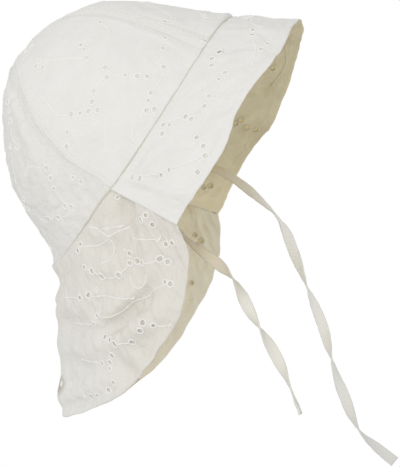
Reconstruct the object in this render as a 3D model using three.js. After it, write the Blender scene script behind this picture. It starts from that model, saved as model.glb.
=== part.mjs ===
// A small child's sun hat in eyelet cotton: a crown of five gores, a brim round the face,
// a long flap over the neck, and two flat ties that hang free from inside the head seam.
// Millimetres and degrees, +Z up.
//
// The hat's own frame has x towards the face, y to the wearer's left and z up from the
// head opening. An angle runs round the head opening: 0 at the middle of the forehead,
// 90 at the left ear, 180 at the nape, -90 at the right ear.

import * as THREE from 'three'
import { mergeVertices } from 'three/addons/utils/BufferGeometryUtils.js'

// Head opening: an oval seam that dips over the ears and a little at the nape.
const HEAD_LENGTH = 182
const HEAD_WIDTH = 150
const EAR_DIP = 8
const NAPE_DIP = 2

// Crown: its height over the head opening, and where its top lies behind the middle.
const CROWN_HEIGHT = 92
const CROWN_TOP_BACK = 6

// Cloth and sewing: outer cloth with its lining, and the room left between sewn pieces.
const CLOTH = 1.5
const GAP = 0.3
const CROWN_TOP_ROW = 0.985

// The hat sits on its head with the front raised.
const FRONT_RAISED = 24

// Facets: one step round the head opening, the same on every piece so that neighbours lie
// flat to each other, and the rows up a gore, down the brim and down the flap.
const FACET_ANGLE = 5
const GORE_ROWS = 9
const BRIM_ROWS = 6
const FLAP_ROWS = 12

// Ties: flat woven tape.
const TIE_WIDTH = 7
const TIE_THICKNESS = 1
const TIE_STEPS = 44
const QUARTER_TURN = 90

// The crown's levels, from the head seam to the top. rise is the share of the crown's height;
// front, side and back are the shares of the head opening's half length and half width left
// there; frontSeam and backSeam are the angles at which the gore seams cross the level.
const CROWN_LEVELS = [
  { rise: 0.00, front: 1.000, side: 1.000, back: 1.000, frontSeam: 40, backSeam: 110 },
  { rise: 0.11, front: 0.930, side: 0.990, back: 0.960, frontSeam: 40, backSeam: 110 },
  { rise: 0.24, front: 0.860, side: 0.965, back: 0.910, frontSeam: 39, backSeam: 111 },
  { rise: 0.41, front: 0.790, side: 0.905, back: 0.835, frontSeam: 38, backSeam: 112 },
  { rise: 0.60, front: 0.705, side: 0.800, back: 0.705, frontSeam: 36, backSeam: 110 },
  { rise: 0.78, front: 0.580, side: 0.635, back: 0.505, frontSeam: 34, backSeam: 105 },
  { rise: 0.91, front: 0.395, side: 0.420, back: 0.310, frontSeam: 32, backSeam: 99 },
  { rise: 0.98, front: 0.200, side: 0.205, back: 0.145, frontSeam: 31, backSeam: 95 },
  { rise: 1.00, front: 0.000, side: 0.000, back: 0.000, frontSeam: 30, backSeam: 92 },
]

// The brim's hem and the flap's hem. forward and aside place the hem in the hat's frame, drop
// is its depth under the head opening, and swell is how far the cloth bellies out halfway down.
const BRIM_HEM = [
  { angle: 0, forward: 112, aside: 0, drop: 35, swell: 0 },
  { angle: 40, forward: 88, aside: 65, drop: 38, swell: 0 },
  { angle: 76, forward: 30, aside: 94, drop: 50, swell: 2 },
  { angle: 94, forward: 0, aside: 97, drop: 52, swell: 3 },
  { angle: 110, forward: -21, aside: 92, drop: 53, swell: 3 },
]
const FLAP_HEM = [
  { angle: 110, forward: -21, aside: 92, drop: 53, swell: 3 },
  { angle: 122, forward: -38, aside: 88, drop: 69, swell: 3 },
  { angle: 136, forward: -67, aside: 82, drop: 79, swell: 4 },
  { angle: 150, forward: -104, aside: 70, drop: 82, swell: 4 },
  { angle: 165, forward: -141, aside: 45, drop: 71, swell: 4 },
  { angle: 180, forward: -167, aside: 0, drop: 53, swell: 3.5 },
]
const BRIM_END = BRIM_HEM[BRIM_HEM.length - 1].angle

// Places where the hem hangs lower (or, below zero, higher) than its even line.
const HEM_SAGS = [
  { angle: -38, spread: 10, drop: 3 },
  { angle: -88, spread: 20, drop: 4.5 },
  { angle: -134, spread: 18, drop: 5 },
  { angle: 34, spread: 20, drop: 2.5 },
  { angle: 84, spread: 14, drop: -1.5 },
  { angle: 152, spread: 20, drop: -4.5 },
]

// The main folds of brim and flap. down is the share of the way from seam to hem, turn leans
// the fold from level, and height is how far it stands out, or in if it is below zero.
const FOLDS = [
  { angle: -118, down: 0.22, turn: 50, length: 18, width: 6, height: -3 },
  { angle: -124, down: 0.42, turn: 40, length: 20, width: 6, height: -2.5 },
  { angle: -148, down: 0.62, turn: 20, length: 26, width: 7, height: -4 },
  { angle: -140, down: 0.80, turn: 25, length: 24, width: 6, height: 2.5 },
  { angle: 122, down: 0.35, turn: -45, length: 20, width: 6, height: -2.5 },
  { angle: 146, down: 0.62, turn: -20, length: 26, width: 7, height: -3 },
  { angle: 180, down: 0.60, turn: 90, length: 26, width: 9, height: 2 },
  { angle: -64, down: 0.85, turn: 70, length: 14, width: 6, height: -2 },
  { angle: 30, down: 0.80, turn: 80, length: 16, width: 7, height: 2 },
]

// The ties' routes from the seam to the free end, in the finished part's frame: forward, left
// and up of the head seat, and how many quarter turns the tape has made by then.
const TIE_RIGHT_ROUTE = [
  [14, -72.1, -93, 0],
  [13, -72.2, -102, 0],
  [10.8, -72.2, -114, 0.2],
  [8.2, -72.2, -126, 0.5],
  [5.4, -72.1, -138, 0.8],
  [4.4, -72, -149, 1.05],
  [6.4, -71.8, -159, 1.3],
  [10.8, -71.4, -170, 1.8],
  [14.7, -71, -180, 2.4],
  [16.9, -70.7, -190, 3],
  [16.6, -70.5, -198, 3.5],
  [15.6, -70.3, -206, 4],
  [15, -70, -214, 4.5],
  [15, -69.8, -222, 5],
  [15, -69.5, -233, 5.6],
  [14.6, -69.2, -244, 6.15],
  [13.3, -68.8, -255, 6.8],
  [11.5, -68.4, -265, 7],
  [9.7, -68, -275, 7.05],
]
const TIE_LEFT_ROUTE = [
  [14, 72.1, -93, 4],
  [15, 72, -100, 3.45],
  [19, 71.6, -109, 3.2],
  [25, 71.2, -117.5, 3.3],
  [30.6, 70.6, -125.5, 3.45],
  [34.8, 70, -134, 3.5],
  [37.6, 69.5, -141, 3.5],
  [41.6, 69, -153, 3.3],
  [44.8, 68.5, -165, 3],
  [44.8, 68.1, -177, 3.5],
  [42.6, 67.8, -188.5, 4],
  [40.2, 67.4, -201, 4.5],
  [37.9, 67, -214, 5],
  [36, 66.6, -227, 5.5],
  [33.9, 66.2, -240, 6],
  [31, 65.8, -250.5, 6.5],
  [28, 65.4, -261, 7],
  [25, 65, -273, 7.5],
  [22.7, 64.6, -286, 8],
  [20.6, 64.2, -297, 8.5],
  [20.1, 63.8, -307.5, 9],
  [24.2, 63.4, -321, 9.5],
  [29.2, 63, -334, 10],
]

const COTTON = { color: 0xe9e6df, roughness: 0.9, metalness: 0 }
const TAPE = { color: 0xe4e2da, roughness: 0.8, metalness: 0 }

const radians = THREE.MathUtils.degToRad

// The value of one column of a table at a place in its key column, on a smooth curve
// through the rows. The curve leaves the first or last row level where that end is mirrored.
function smooth(rows, key, column, at, levelStart = false, levelEnd = false) {
  const last = rows.length - 1
  const slope = (i) => {
    if (i === 0 && levelStart) return 0
    if (i === last && levelEnd) return 0
    const before = Math.max(i - 1, 0)
    const after = Math.min(i + 1, last)
    const step = (a, b) => (rows[b][column] - rows[a][column]) / (rows[b][key] - rows[a][key])
    if (before === i) return step(i, after)
    if (after === i) return step(before, i)
    const left = rows[i][key] - rows[before][key]
    const right = rows[after][key] - rows[i][key]
    return (step(before, i) * right + step(i, after) * left) / (left + right)
  }
  let i = 0
  while (i < last - 1 && at > rows[i + 1][key]) i += 1
  const width = rows[i + 1][key] - rows[i][key]
  const t = (at - rows[i][key]) / width
  const fromStart = rows[i][column] * (2 * t ** 3 - 3 * t ** 2 + 1) + slope(i) * width * (t ** 3 - 2 * t ** 2 + t)
  const fromEnd = rows[i + 1][column] * (3 * t ** 2 - 2 * t ** 3) + slope(i + 1) * width * (t ** 3 - t ** 2)
  return fromStart + fromEnd
}

// The angle from the forehead, 0 to 180 on either side, and the signed turn between two angles.
const fromForehead = (angle) => THREE.MathUtils.radToDeg(Math.acos(Math.cos(radians(angle))))
const turnBetween = (angle, other) => THREE.MathUtils.euclideanModulo(angle - other + 180, 360) - 180

// A point on the head seam.
function headSeam(angle) {
  const a = radians(angle)
  const dip = EAR_DIP * Math.sin(a) ** 2 + NAPE_DIP * (1 - Math.cos(a)) / 2
  return new THREE.Vector3(Math.cos(a) * HEAD_LENGTH / 2, Math.sin(a) * HEAD_WIDTH / 2, -dip)
}

// The crown's levels are evenly numbered, so that its top closes smoothly.
const LEVELS = CROWN_LEVELS.map((level, number) => ({ number: number / (CROWN_LEVELS.length - 1), ...level }))
const level = (row, column) => smooth(LEVELS, 'number', column, row)

// A point on the crown's outer face; row runs from 0 at the head seam to 1 at the top.
function crown(angle, row) {
  const facing = Math.cos(radians(angle))
  const lengthwise = level(row, facing > 0 ? 'front' : 'back')
  const share = lengthwise * facing ** 2 + level(row, 'side') * (1 - facing ** 2)
  const rise = level(row, 'rise')
  const seam = headSeam(angle)
  return new THREE.Vector3(
    seam.x * share - CROWN_TOP_BACK * (1 - share),
    seam.y * share,
    seam.z * (1 - rise) + CROWN_HEIGHT * rise,
  )
}

// A point on the hem of brim or flap, and the swell of the cloth above it.
function hem(angle) {
  const around = fromForehead(angle)
  const onBrim = around <= BRIM_END
  const rows = onBrim ? BRIM_HEM : FLAP_HEM
  const at = (column) => smooth(rows, 'angle', column, around, onBrim, !onBrim)
  const aside = smooth(rows, 'angle', 'aside', around) * Math.sign(Math.sin(radians(angle)))
  return { point: new THREE.Vector3(at('forward'), aside, -at('drop')), swell: at('swell') }
}

// How far the folds push the cloth out at a place on brim or flap.
function foldHeight(angle, row, fall) {
  let height = 0
  for (const fold of FOLDS) {
    const across = radians(turnBetween(angle, fold.angle)) * HEAD_LENGTH / 2
    const down = (row - fold.down) * fall
    const lean = radians(fold.turn)
    const along = (across * Math.cos(lean) + down * Math.sin(lean)) / fold.length
    const off = (down * Math.cos(lean) - across * Math.sin(lean)) / fold.width
    height += fold.height * Math.exp(-(along ** 2) - off ** 2)
  }
  return height
}

// A point on the upper face of brim and flap; row runs from 0 at the head seam to 1 at the hem.
function skirt(angle, row) {
  const seam = headSeam(angle)
  const { point, swell } = hem(angle)
  const fall = point.distanceTo(seam)
  const outward = new THREE.Vector3(Math.cos(radians(angle)), Math.sin(radians(angle)), 0.6).normalize()
  const belly = 4 * swell * row * (1 - row)
  const eased = row ** 2
  const sag = HEM_SAGS.reduce(
    (sum, { angle: at, spread, drop }) => sum + drop * Math.exp(-((turnBetween(angle, at) / spread) ** 2)),
    0,
  )
  const fold = foldHeight(angle, row, fall) * Math.sin(Math.min(row * 4, 1) * Math.PI / 2)
  return seam.lerp(point, row).addScaledVector(outward, belly + fold).add(new THREE.Vector3(0, 0, -sag * eased))
}

// The outward direction at a place on the crown or the skirt. The steps are wide enough to
// round the corner where brim and flap meet.
const ANGLE_STEP = 1.5
const ROW_STEP = 0.01
function outwardAt(surface, angle, row, facing) {
  const low = Math.max(row - ROW_STEP, 0)
  const high = Math.min(row + ROW_STEP, 1)
  const around = surface(angle + ANGLE_STEP, row).sub(surface(angle - ANGLE_STEP, row))
  const along = surface(angle, high).sub(surface(angle, low))
  return around.cross(along).multiplyScalar(facing).normalize()
}

// A cloth wall over a patch of a surface: a grid on the outer face, the same grid one cloth
// thickness in, and four edge strips. place turns shares across and along into angle and row.
function wall(surface, facing, place, across, along) {
  const points = []
  for (const depth of [0, CLOTH]) {
    for (let j = 0; j <= along; j += 1) {
      for (let i = 0; i <= across; i += 1) {
        const { angle, row } = place(i / across, j / along)
        const inward = outwardAt(surface, angle, row, facing).multiplyScalar(-depth)
        points.push(surface(angle, row).add(inward))
      }
    }
  }
  const layer = (across + 1) * (along + 1)
  const outer = (i, j) => j * (across + 1) + i
  const inner = (i, j) => layer + outer(i, j)
  const triangles = []
  const quad = (a, b, c, d) => triangles.push(a, b, c, a, c, d)
  for (let j = 0; j < along; j += 1) {
    for (let i = 0; i < across; i += 1) {
      quad(outer(i, j), outer(i + 1, j), outer(i + 1, j + 1), outer(i, j + 1))
      quad(inner(i, j), inner(i, j + 1), inner(i + 1, j + 1), inner(i + 1, j))
    }
    quad(outer(0, j), outer(0, j + 1), inner(0, j + 1), inner(0, j))
    quad(outer(across, j), inner(across, j), inner(across, j + 1), outer(across, j + 1))
  }
  for (let i = 0; i < across; i += 1) {
    quad(outer(i, 0), inner(i, 0), inner(i + 1, 0), outer(i + 1, 0))
    quad(outer(i, along), outer(i + 1, along), inner(i + 1, along), inner(i, along))
  }
  if (facing < 0) triangles.reverse()
  const geometry = new THREE.BufferGeometry()
  geometry.setAttribute('position', new THREE.Float32BufferAttribute(points.flatMap((p) => p.toArray()), 3))
  geometry.setIndex(triangles)
  return geometry
}

// The angle that leaves half the gap beside a seam at a given distance from the crown's axis.
const insetAngle = (radius) => THREE.MathUtils.radToDeg(GAP / 2 / radius)

// One crown gore between two seams, each given as a function of the row.
function gore(rightSeam, leftSeam) {
  const place = (u, v) => {
    const row = v * CROWN_TOP_ROW
    const radius = Math.hypot(crown(rightSeam(row), row).x + CROWN_TOP_BACK, crown(rightSeam(row), row).y)
    const inset = insetAngle(radius)
    const right = rightSeam(row) + inset
    const left = leftSeam(row) - inset
    return { angle: right + (left - right) * u, row }
  }
  return wall(crown, 1, place, (leftSeam(0) - rightSeam(0)) / FACET_ANGLE, GORE_ROWS)
}

// A stretch of brim or flap between two angles, hung just under the head seam.
function skirtPanel(right, left, rows) {
  const inset = insetAngle(HEAD_WIDTH / 2)
  const place = (u, v) => {
    const angle = right + inset + (left - right - 2 * inset) * u
    const start = GAP / hem(angle).point.distanceTo(headSeam(angle))
    return { angle, row: start + (1 - start) * v }
  }
  return wall(skirt, -1, place, (left - right) / FACET_ANGLE, rows)
}

// A tie's route. Its frames turn the tape about its length, starting flat against the lining.
class TieRoute extends THREE.CatmullRomCurve3 {
  constructor(rows) {
    super(rows.map(([forward, left, up]) => new THREE.Vector3(forward, left, up)))
    this.turns = rows.map(([, , , quarters], index) => ({ index, quarters }))
  }

  computeFrenetFrames(steps) {
    const frames = { tangents: [], normals: [], binormals: [] }
    const sideways = new THREE.Vector3(0, 1, 0)
    for (let i = 0; i <= steps; i += 1) {
      const tangent = this.getTangentAt(i / steps)
      const index = this.getUtoTmapping(i / steps) * (this.turns.length - 1)
      const turn = radians(smooth(this.turns, 'index', 'quarters', index) * QUARTER_TURN)
      const normal = sideways.clone().addScaledVector(tangent, -sideways.dot(tangent)).normalize()
      normal.applyAxisAngle(tangent, turn)
      frames.tangents.push(tangent)
      frames.normals.push(normal)
      frames.binormals.push(tangent.clone().cross(normal))
    }
    return frames
  }
}

// A flat tape with eased edges, drawn along its route.
function tie(rows) {
  const half = TIE_WIDTH / 2
  const thin = TIE_THICKNESS / 2
  const ease = TIE_THICKNESS / 4
  const section = new THREE.Shape([
    new THREE.Vector2(-thin, -half + ease),
    new THREE.Vector2(-thin + ease, -half),
    new THREE.Vector2(thin - ease, -half),
    new THREE.Vector2(thin, -half + ease),
    new THREE.Vector2(thin, half - ease),
    new THREE.Vector2(thin - ease, half),
    new THREE.Vector2(-thin + ease, half),
    new THREE.Vector2(-thin, half - ease),
  ])
  const geometry = new THREE.ExtrudeGeometry(section, { extrudePath: new TieRoute(rows), steps: TIE_STEPS })
  geometry.deleteAttribute('normal')
  geometry.deleteAttribute('uv')
  return mergeVertices(geometry)
}

// The head seat is the highest point inside the crown once the hat is raised at the front.
function headSeat() {
  const tilt = radians(FRONT_RAISED)
  const samples = 200
  let seat = null
  let top = -Infinity
  for (let i = 0; i <= samples; i += 1) {
    const row = i / samples
    const inward = outwardAt(crown, 0, Math.min(row, CROWN_TOP_ROW), 1).multiplyScalar(-CLOTH)
    const point = crown(0, row).add(inward)
    const height = point.x * Math.sin(tilt) + point.z * Math.cos(tilt)
    if (height > top) {
      top = height
      seat = point
    }
  }
  return seat
}

function piece(name, geometry, finish) {
  const mesh = new THREE.Mesh(geometry, new THREE.MeshStandardMaterial(finish))
  mesh.name = name
  return mesh
}

const frontSeam = (side) => (row) => side * level(row, 'frontSeam')
const backSeam = (side) => (row) => side * level(row, 'backSeam')
const nape = (side) => () => side * 180

const hat = new THREE.Group()
hat.add(
  piece('crown_front', gore(frontSeam(-1), frontSeam(1)), COTTON),
  piece('crown_side_right', gore(backSeam(-1), frontSeam(-1)), COTTON),
  piece('crown_side_left', gore(frontSeam(1), backSeam(1)), COTTON),
  piece('crown_back_right', gore(nape(-1), backSeam(-1)), COTTON),
  piece('crown_back_left', gore(backSeam(1), nape(1)), COTTON),
  piece('brim', skirtPanel(-BRIM_END, BRIM_END, BRIM_ROWS), COTTON),
  piece('neck_flap', skirtPanel(BRIM_END, 360 - BRIM_END, FLAP_ROWS), COTTON),
)
hat.rotation.y = -radians(FRONT_RAISED)
hat.position.copy(headSeat().applyEuler(hat.rotation).negate())

const sunHat = new THREE.Group()
sunHat.add(
  hat,
  piece('tie_right', tie(TIE_RIGHT_ROUTE), TAPE),
  piece('tie_left', tie(TIE_LEFT_ROUTE), TAPE),
)

export default sunHat
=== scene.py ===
# A small child's sun hat in eyelet cotton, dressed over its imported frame: the camera, two
# woven ties, a lined crown of five gores, a brim of two cloths, a long neck flap, the
# embroidery and stitching on them, and a plain studio round it all.
import math

import bmesh
import bpy
import numpy as np
from mathutils import Matrix, Vector
from mathutils.geometry import delaunay_2d_cdt


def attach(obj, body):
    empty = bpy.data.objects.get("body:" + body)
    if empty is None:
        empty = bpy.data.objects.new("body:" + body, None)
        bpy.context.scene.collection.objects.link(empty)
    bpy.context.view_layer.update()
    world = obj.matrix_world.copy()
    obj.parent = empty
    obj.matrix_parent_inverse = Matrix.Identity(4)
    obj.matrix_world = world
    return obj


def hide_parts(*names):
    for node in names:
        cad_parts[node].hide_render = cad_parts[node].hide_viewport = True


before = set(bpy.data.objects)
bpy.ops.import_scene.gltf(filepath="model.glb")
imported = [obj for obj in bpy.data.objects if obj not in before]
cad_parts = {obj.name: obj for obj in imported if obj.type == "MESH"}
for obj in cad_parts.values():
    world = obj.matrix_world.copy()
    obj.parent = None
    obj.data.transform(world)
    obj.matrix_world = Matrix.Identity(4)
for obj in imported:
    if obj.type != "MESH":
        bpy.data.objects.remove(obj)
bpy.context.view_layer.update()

MM = 0.001

# ---------------------------------------------------------------------------------------
# Camera: a long lens level with the hat's right side, turned a little to its face. The
# camera is rolled over, so that the hat hangs with its front edge to the upper right.
CAMERA_LENS = 200
CAMERA_DISTANCE = 1.56
CAMERA_AIM = (0.0053, 0.0030, -0.1532)
CAMERA_AZIMUTH = 6.6
CAMERA_LOOKS_UP = 2.9
CAMERA_ROLL = -31.0

camera_data = bpy.data.cameras.new("camera")
camera_data.lens = CAMERA_LENS
camera = bpy.data.objects.new("camera", camera_data)
bpy.context.scene.collection.objects.link(camera)
camera_turn = (
    Matrix.Rotation(math.radians(CAMERA_AZIMUTH), 4, "Z")
    @ Matrix.Rotation(math.radians(90 + CAMERA_LOOKS_UP), 4, "X")
    @ Matrix.Rotation(math.radians(CAMERA_ROLL), 4, "Z")
)
camera_back = camera_turn.col[2].to_3d()
camera_place = Vector(CAMERA_AIM) + camera_back * CAMERA_DISTANCE
camera.matrix_world = Matrix.Translation(camera_place) @ camera_turn
bpy.context.scene.camera = camera

# ---------------------------------------------------------------------------------------
# Ties: two lengths of flat woven cotton tape, sewn inside the head seam over each ear and
# hanging free. Each has a firm selvedge, turns about its length as it falls, and ends in
# a small turned-up hem held with a bar of stitches.
TIE_WIDTH = 6.7
TIE_THICKNESS = 0.7
TIE_SELVEDGE = 0.08
TIE_SELVEDGE_SHARE = 0.12
TIE_CUP = 0.35
TIE_STEP = 1.0
TIE_HEM = 6.0
TIE_HEM_EDGE = 0.4
TIE_COLUMNS = 12
# Slight creases along a tie: height, how fast they come round, and their start; and how
# much narrower the tape is drawn here and there, and how fast that comes round.
TIE_CREASES = [(0.12, 0.31, 0), (0.08, 0.83, 1)]
TIE_NARROWED = 0.12
TIE_NARROWED_RATE = 0.11

# Route of each tie: forward, left and up of the head seat in millimetres, and how many
# quarter turns the tape has made by then.
TIE_RIGHT_ROUTE = [
    (14, -72.1, -93, 0), (13, -72.2, -102, 0), (10.8, -72.2, -114, 0.2),
    (8.2, -72.2, -126, 0.5), (5.4, -72.1, -138, 0.8), (4.4, -72, -149, 1.0),
    (6.4, -71.8, -159, 1.2), (10.8, -71.4, -170, 1.6), (14.7, -71, -180, 2.3),
    (16.9, -70.7, -190, 3), (16.6, -70.5, -198, 3.5), (15.6, -70.3, -206, 4),
    (15, -70, -214, 4.5), (15, -69.8, -222, 5), (15, -69.5, -233, 5.6),
    (14.6, -69.2, -244, 6.15), (13.3, -68.8, -255, 6.8), (11.5, -68.4, -265, 7),
    (9.7, -68, -275, 7.05),
]
TIE_LEFT_ROUTE = [
    (14, 72.1, -93, 4), (15, 72, -100, 3.45), (19, 71.6, -109, 3.2),
    (25, 71.2, -117.5, 3.3), (30.6, 70.6, -125.5, 3.45), (34.8, 70, -134, 3.5),
    (37.6, 69.5, -141, 3.5), (41.6, 69, -153, 3.3), (44.8, 68.5, -165, 3),
    (44.8, 68.1, -177, 3.5), (42.6, 67.8, -188.5, 4), (40.2, 67.4, -201, 4.5),
    (37.9, 67, -214, 5), (36, 66.6, -227, 5.5), (33.9, 66.2, -240, 6),
    (31, 65.8, -250.5, 6.5), (28, 65.4, -261, 7), (25, 65, -273, 7.5),
    (22.7, 64.6, -286, 8), (20.6, 64.2, -297, 8.5), (20.1, 63.8, -307.5, 9),
    (24.2, 63.4, -321, 9.5), (29.2, 63, -334, 10),
]

# Colours of each tape, plain and in its darker threads, and near the head, where it is
# yellower and darker. The right tape is drawn darker as painted shade, because it hangs nearer
# the light. The left one is drawn lighter as painted light, where the brim shadows it. Then
# the grey towards the end, which is painted shade; and how far down the tape the colour
# near the head and that grey each start and end.
RIGHT_TAPE_DIMMED = (0.80, 0.78, 0.71, 1)
RIGHT_TAPE_DIMMED_THREADS = (0.74, 0.72, 0.645, 1)
RIGHT_TAPE_DIMMED_NEAR_HEAD = (0.61, 0.53, 0.39, 1)
RIGHT_TAPE_HIDDEN = 42.0
LEFT_TAPE_BRIGHTENED = (0.95, 0.935, 0.885, 1)
LEFT_TAPE_BRIGHTENED_THREADS = (0.90, 0.88, 0.82, 1)
LEFT_TAPE_BRIGHTENED_NEAR_HEAD = (0.80, 0.71, 0.49, 1)
TAPE_YELLOW_START = 30.0
TAPE_YELLOW_END = 76.0
# The grey towards the end of each tape is painted shade.
TAPE_END_SHADE = (0.66, 0.655, 0.63, 1)
TAPE_END_SHADE_START = 95.0
TAPE_END_SHADE_END = 270.0
TAPE_WARP_PITCH = 0.5
TAPE_WEFT_PITCH = 0.42


class Shade:
    """A number, colour or vector on its way through one finish's nodes."""

    def __init__(self, tree, socket):
        self.tree = tree
        self.socket = socket

    def node(self, kind, settings, inputs, output=0):
        made = self.tree.nodes.new(kind)
        for name, value in settings.items():
            setattr(made, name, value)
        for name, value in inputs.items():
            if isinstance(value, Shade):
                self.tree.links.new(value.socket, made.inputs[name])
            else:
                made.inputs[name].default_value = value
        return Shade(self.tree, made.outputs[output])

    def maths(self, operation, first, second):
        inputs = {0: first, 1: second}
        return self.node("ShaderNodeMath", {"operation": operation}, inputs)

    def __add__(self, other):
        return self.maths("ADD", self, other)

    def __radd__(self, other):
        return self.maths("ADD", other, self)

    def __sub__(self, other):
        return self.maths("SUBTRACT", self, other)

    def __rsub__(self, other):
        return self.maths("SUBTRACT", other, self)

    def __mul__(self, other):
        return self.maths("MULTIPLY", self, other)

    def __rmul__(self, other):
        return self.maths("MULTIPLY", other, self)

    def times(self, vector):
        inputs = {0: self, 1: vector}
        return self.node("ShaderNodeVectorMath", {"operation": "MULTIPLY"}, inputs)

    def between(self, low, high):
        """A colour from low to high, by this number."""
        return self.node("ShaderNodeMix", {"data_type": "RGBA"}, {0: self, 6: low, 7: high}, 2)


def new_finish(name, roughness, sheen):
    """An empty cloth finish: its material, its shader and a start for its nodes."""
    material = bpy.data.materials.new(name)
    material.use_nodes = True
    tree = material.node_tree
    shader = tree.nodes["Principled BSDF"]
    shader.inputs["Roughness"].default_value = roughness
    shader.inputs["Specular IOR Level"].default_value = 0.25
    shader.inputs["Sheen Weight"].default_value = sheen
    shader.inputs["Sheen Roughness"].default_value = 0.5
    return material, shader, Shade(tree, None)


def lead(shade, shader, name):
    """Feed one input of the shader."""
    shade.tree.links.new(shade.socket, shader.inputs[name])


def weave_height(start, cloth, warp_pitch, weft_pitch):
    """Threads over and under each other; cloth is the place on the flat cloth in mm."""
    across = start.node("ShaderNodeSeparateXYZ", {}, {0: cloth})
    down = start.node("ShaderNodeSeparateXYZ", {}, {0: cloth}, 1)
    warp = across * (math.tau / warp_pitch)
    weft = down * (math.tau / weft_pitch)
    warp_wave = start.maths("SINE", warp, 0)
    weft_wave = start.maths("SINE", weft, 0)
    over = start.maths("SINE", (warp + weft) * 0.5, 0)
    return warp_wave * 0.5 + weft_wave * 0.5 + over * 0.35


def tape_finish(name, colour, shade, near_head_colour):
    """Cotton tape: a fine plain weave, yellower and darker near the head, and greyer towards its end as
    painted shade.
    """
    material, shader, start = new_finish(name, 0.8, 0.15)
    cloth = start.node("ShaderNodeAttribute", {"attribute_name": "cloth"}, {}, 1)
    mottle = start.node("ShaderNodeTexNoise", {}, {"Vector": cloth, "Scale": 0.22, "Detail": 3.0})
    thread = start.node("ShaderNodeTexNoise", {}, {
        "Vector": cloth.times((2.6, 0.5, 1.0)), "Scale": 1.0, "Detail": 2.0})
    tone = mottle * 0.75 + thread * 0.25
    down = start.node("ShaderNodeSeparateXYZ", {}, {0: cloth}, 1)
    near_head = start.node("ShaderNodeMapRange", {}, {
        "Value": down, "From Min": TAPE_YELLOW_START, "From Max": TAPE_YELLOW_END})
    end_shade = start.node("ShaderNodeMapRange", {}, {
        "Value": down, "From Min": TAPE_END_SHADE_START, "From Max": TAPE_END_SHADE_END})
    away_from_head = end_shade.between(tone.between(shade, colour), TAPE_END_SHADE)
    lead(near_head.between(near_head_colour, away_from_head), shader, "Base Color")
    lead(0.7 + mottle * 0.2, shader, "Roughness")
    height = weave_height(start, cloth, TAPE_WARP_PITCH, TAPE_WEFT_PITCH)
    bump = start.node("ShaderNodeBump", {}, {"Height": height, "Strength": 0.02, "Distance": 0.00001})
    lead(bump, shader, "Normal")
    return material


def smooth(keys, values, at, level_start=False, level_end=False):
    """The value at a place between table rows, on one smooth curve through them all."""
    keys = np.asarray(keys, float)
    values = np.asarray(values, float)
    width = np.diff(keys)
    step = np.diff(values) / width
    slope = np.empty(len(keys))
    slope[1:-1] = (step[:-1] * width[1:] + step[1:] * width[:-1]) / (width[:-1] + width[1:])
    slope[0] = 0 if level_start else step[0]
    slope[-1] = 0 if level_end else step[-1]
    i = np.clip(np.searchsorted(keys, at, side="left") - 1, 0, len(width) - 1)
    t = (at - keys[i]) / width[i]
    start = values[i] * (2 * t**3 - 3 * t**2 + 1) + slope[i] * width[i] * (t**3 - 2 * t**2 + t)
    end = values[i + 1] * (3 * t**2 - 2 * t**3) + slope[i + 1] * width[i] * (t**3 - t**2)
    return start + end


def unit(vectors):
    return vectors / np.linalg.norm(vectors, axis=-1, keepdims=True)


def make_piece(name, points, faces, material, cloth=None, inside=None):
    """A piece from points in millimetres, on the part's one body."""
    mesh = bpy.data.meshes.new(name)
    mesh.from_pydata((np.asarray(points) * MM).tolist(), [], faces)
    solid = bmesh.new()
    solid.from_mesh(mesh)
    bmesh.ops.recalc_face_normals(solid, faces=solid.faces)
    solid.to_mesh(mesh)
    solid.free()
    if cloth is not None:
        places = np.zeros((len(points), 3), np.float32)
        places[:, : cloth.shape[1]] = cloth
        mesh.attributes.new("cloth", "FLOAT_VECTOR", "POINT").data.foreach_set("vector", places.ravel())
    mesh.polygons.foreach_set("use_smooth", [True] * len(mesh.polygons))
    mesh.materials.append(material)
    if inside:
        mesh.materials.append(inside[0])
        marks = np.zeros(len(mesh.polygons), np.int32)
        marks[inside[1]:inside[2]] = 1
        mesh.polygons.foreach_set("material_index", marks)
    piece = bpy.data.objects.new(name, mesh)
    bpy.context.scene.collection.objects.link(piece)
    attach(piece, "root")
    return piece


def tube_faces(rings, sides, closed=False):
    """Faces of a tube of so many rings, each with so many points; open ends are capped."""
    faces = []
    for i in range(rings if closed else rings - 1):
        here, there = i * sides, (i + 1) % rings * sides
        for j in range(sides):
            k = (j + 1) % sides
            faces.append((here + j, here + k, there + k, there + j))
    if not closed:
        faces.append(tuple(range(sides - 1, -1, -1)))
        faces.append(tuple(range((rings - 1) * sides, rings * sides)))
    return faces


def tape_route(route):
    """Even steps down a route: points, directions, the tape's flat normals and lengths."""
    table = np.array(route, float)
    along = np.concatenate([[0], np.cumsum(np.linalg.norm(np.diff(table[:, :3], axis=0), axis=1))])
    fine = np.linspace(0, along[-1], 2000)
    curve = np.stack([smooth(along, table[:, k], fine) for k in range(3)], axis=1)
    length = np.concatenate([[0], np.cumsum(np.linalg.norm(np.diff(curve, axis=0), axis=1))])
    even = np.linspace(0, length[-1], int(length[-1] / TIE_STEP) + 1)
    at = np.interp(even, length, fine)
    points = np.stack([smooth(along, table[:, k], at) for k in range(3)], axis=1)
    turn = np.radians(smooth(along, table[:, 3], at) * 90)
    tangents = unit(np.gradient(points, axis=0))
    sideways = unit(np.array([0.0, 1.0, 0.0]) - tangents * tangents[:, 1:2])
    aside = np.cross(tangents, sideways)
    normals = sideways * np.cos(turn)[:, None] + aside * np.sin(turn)[:, None]
    return points, tangents, normals, even


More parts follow.
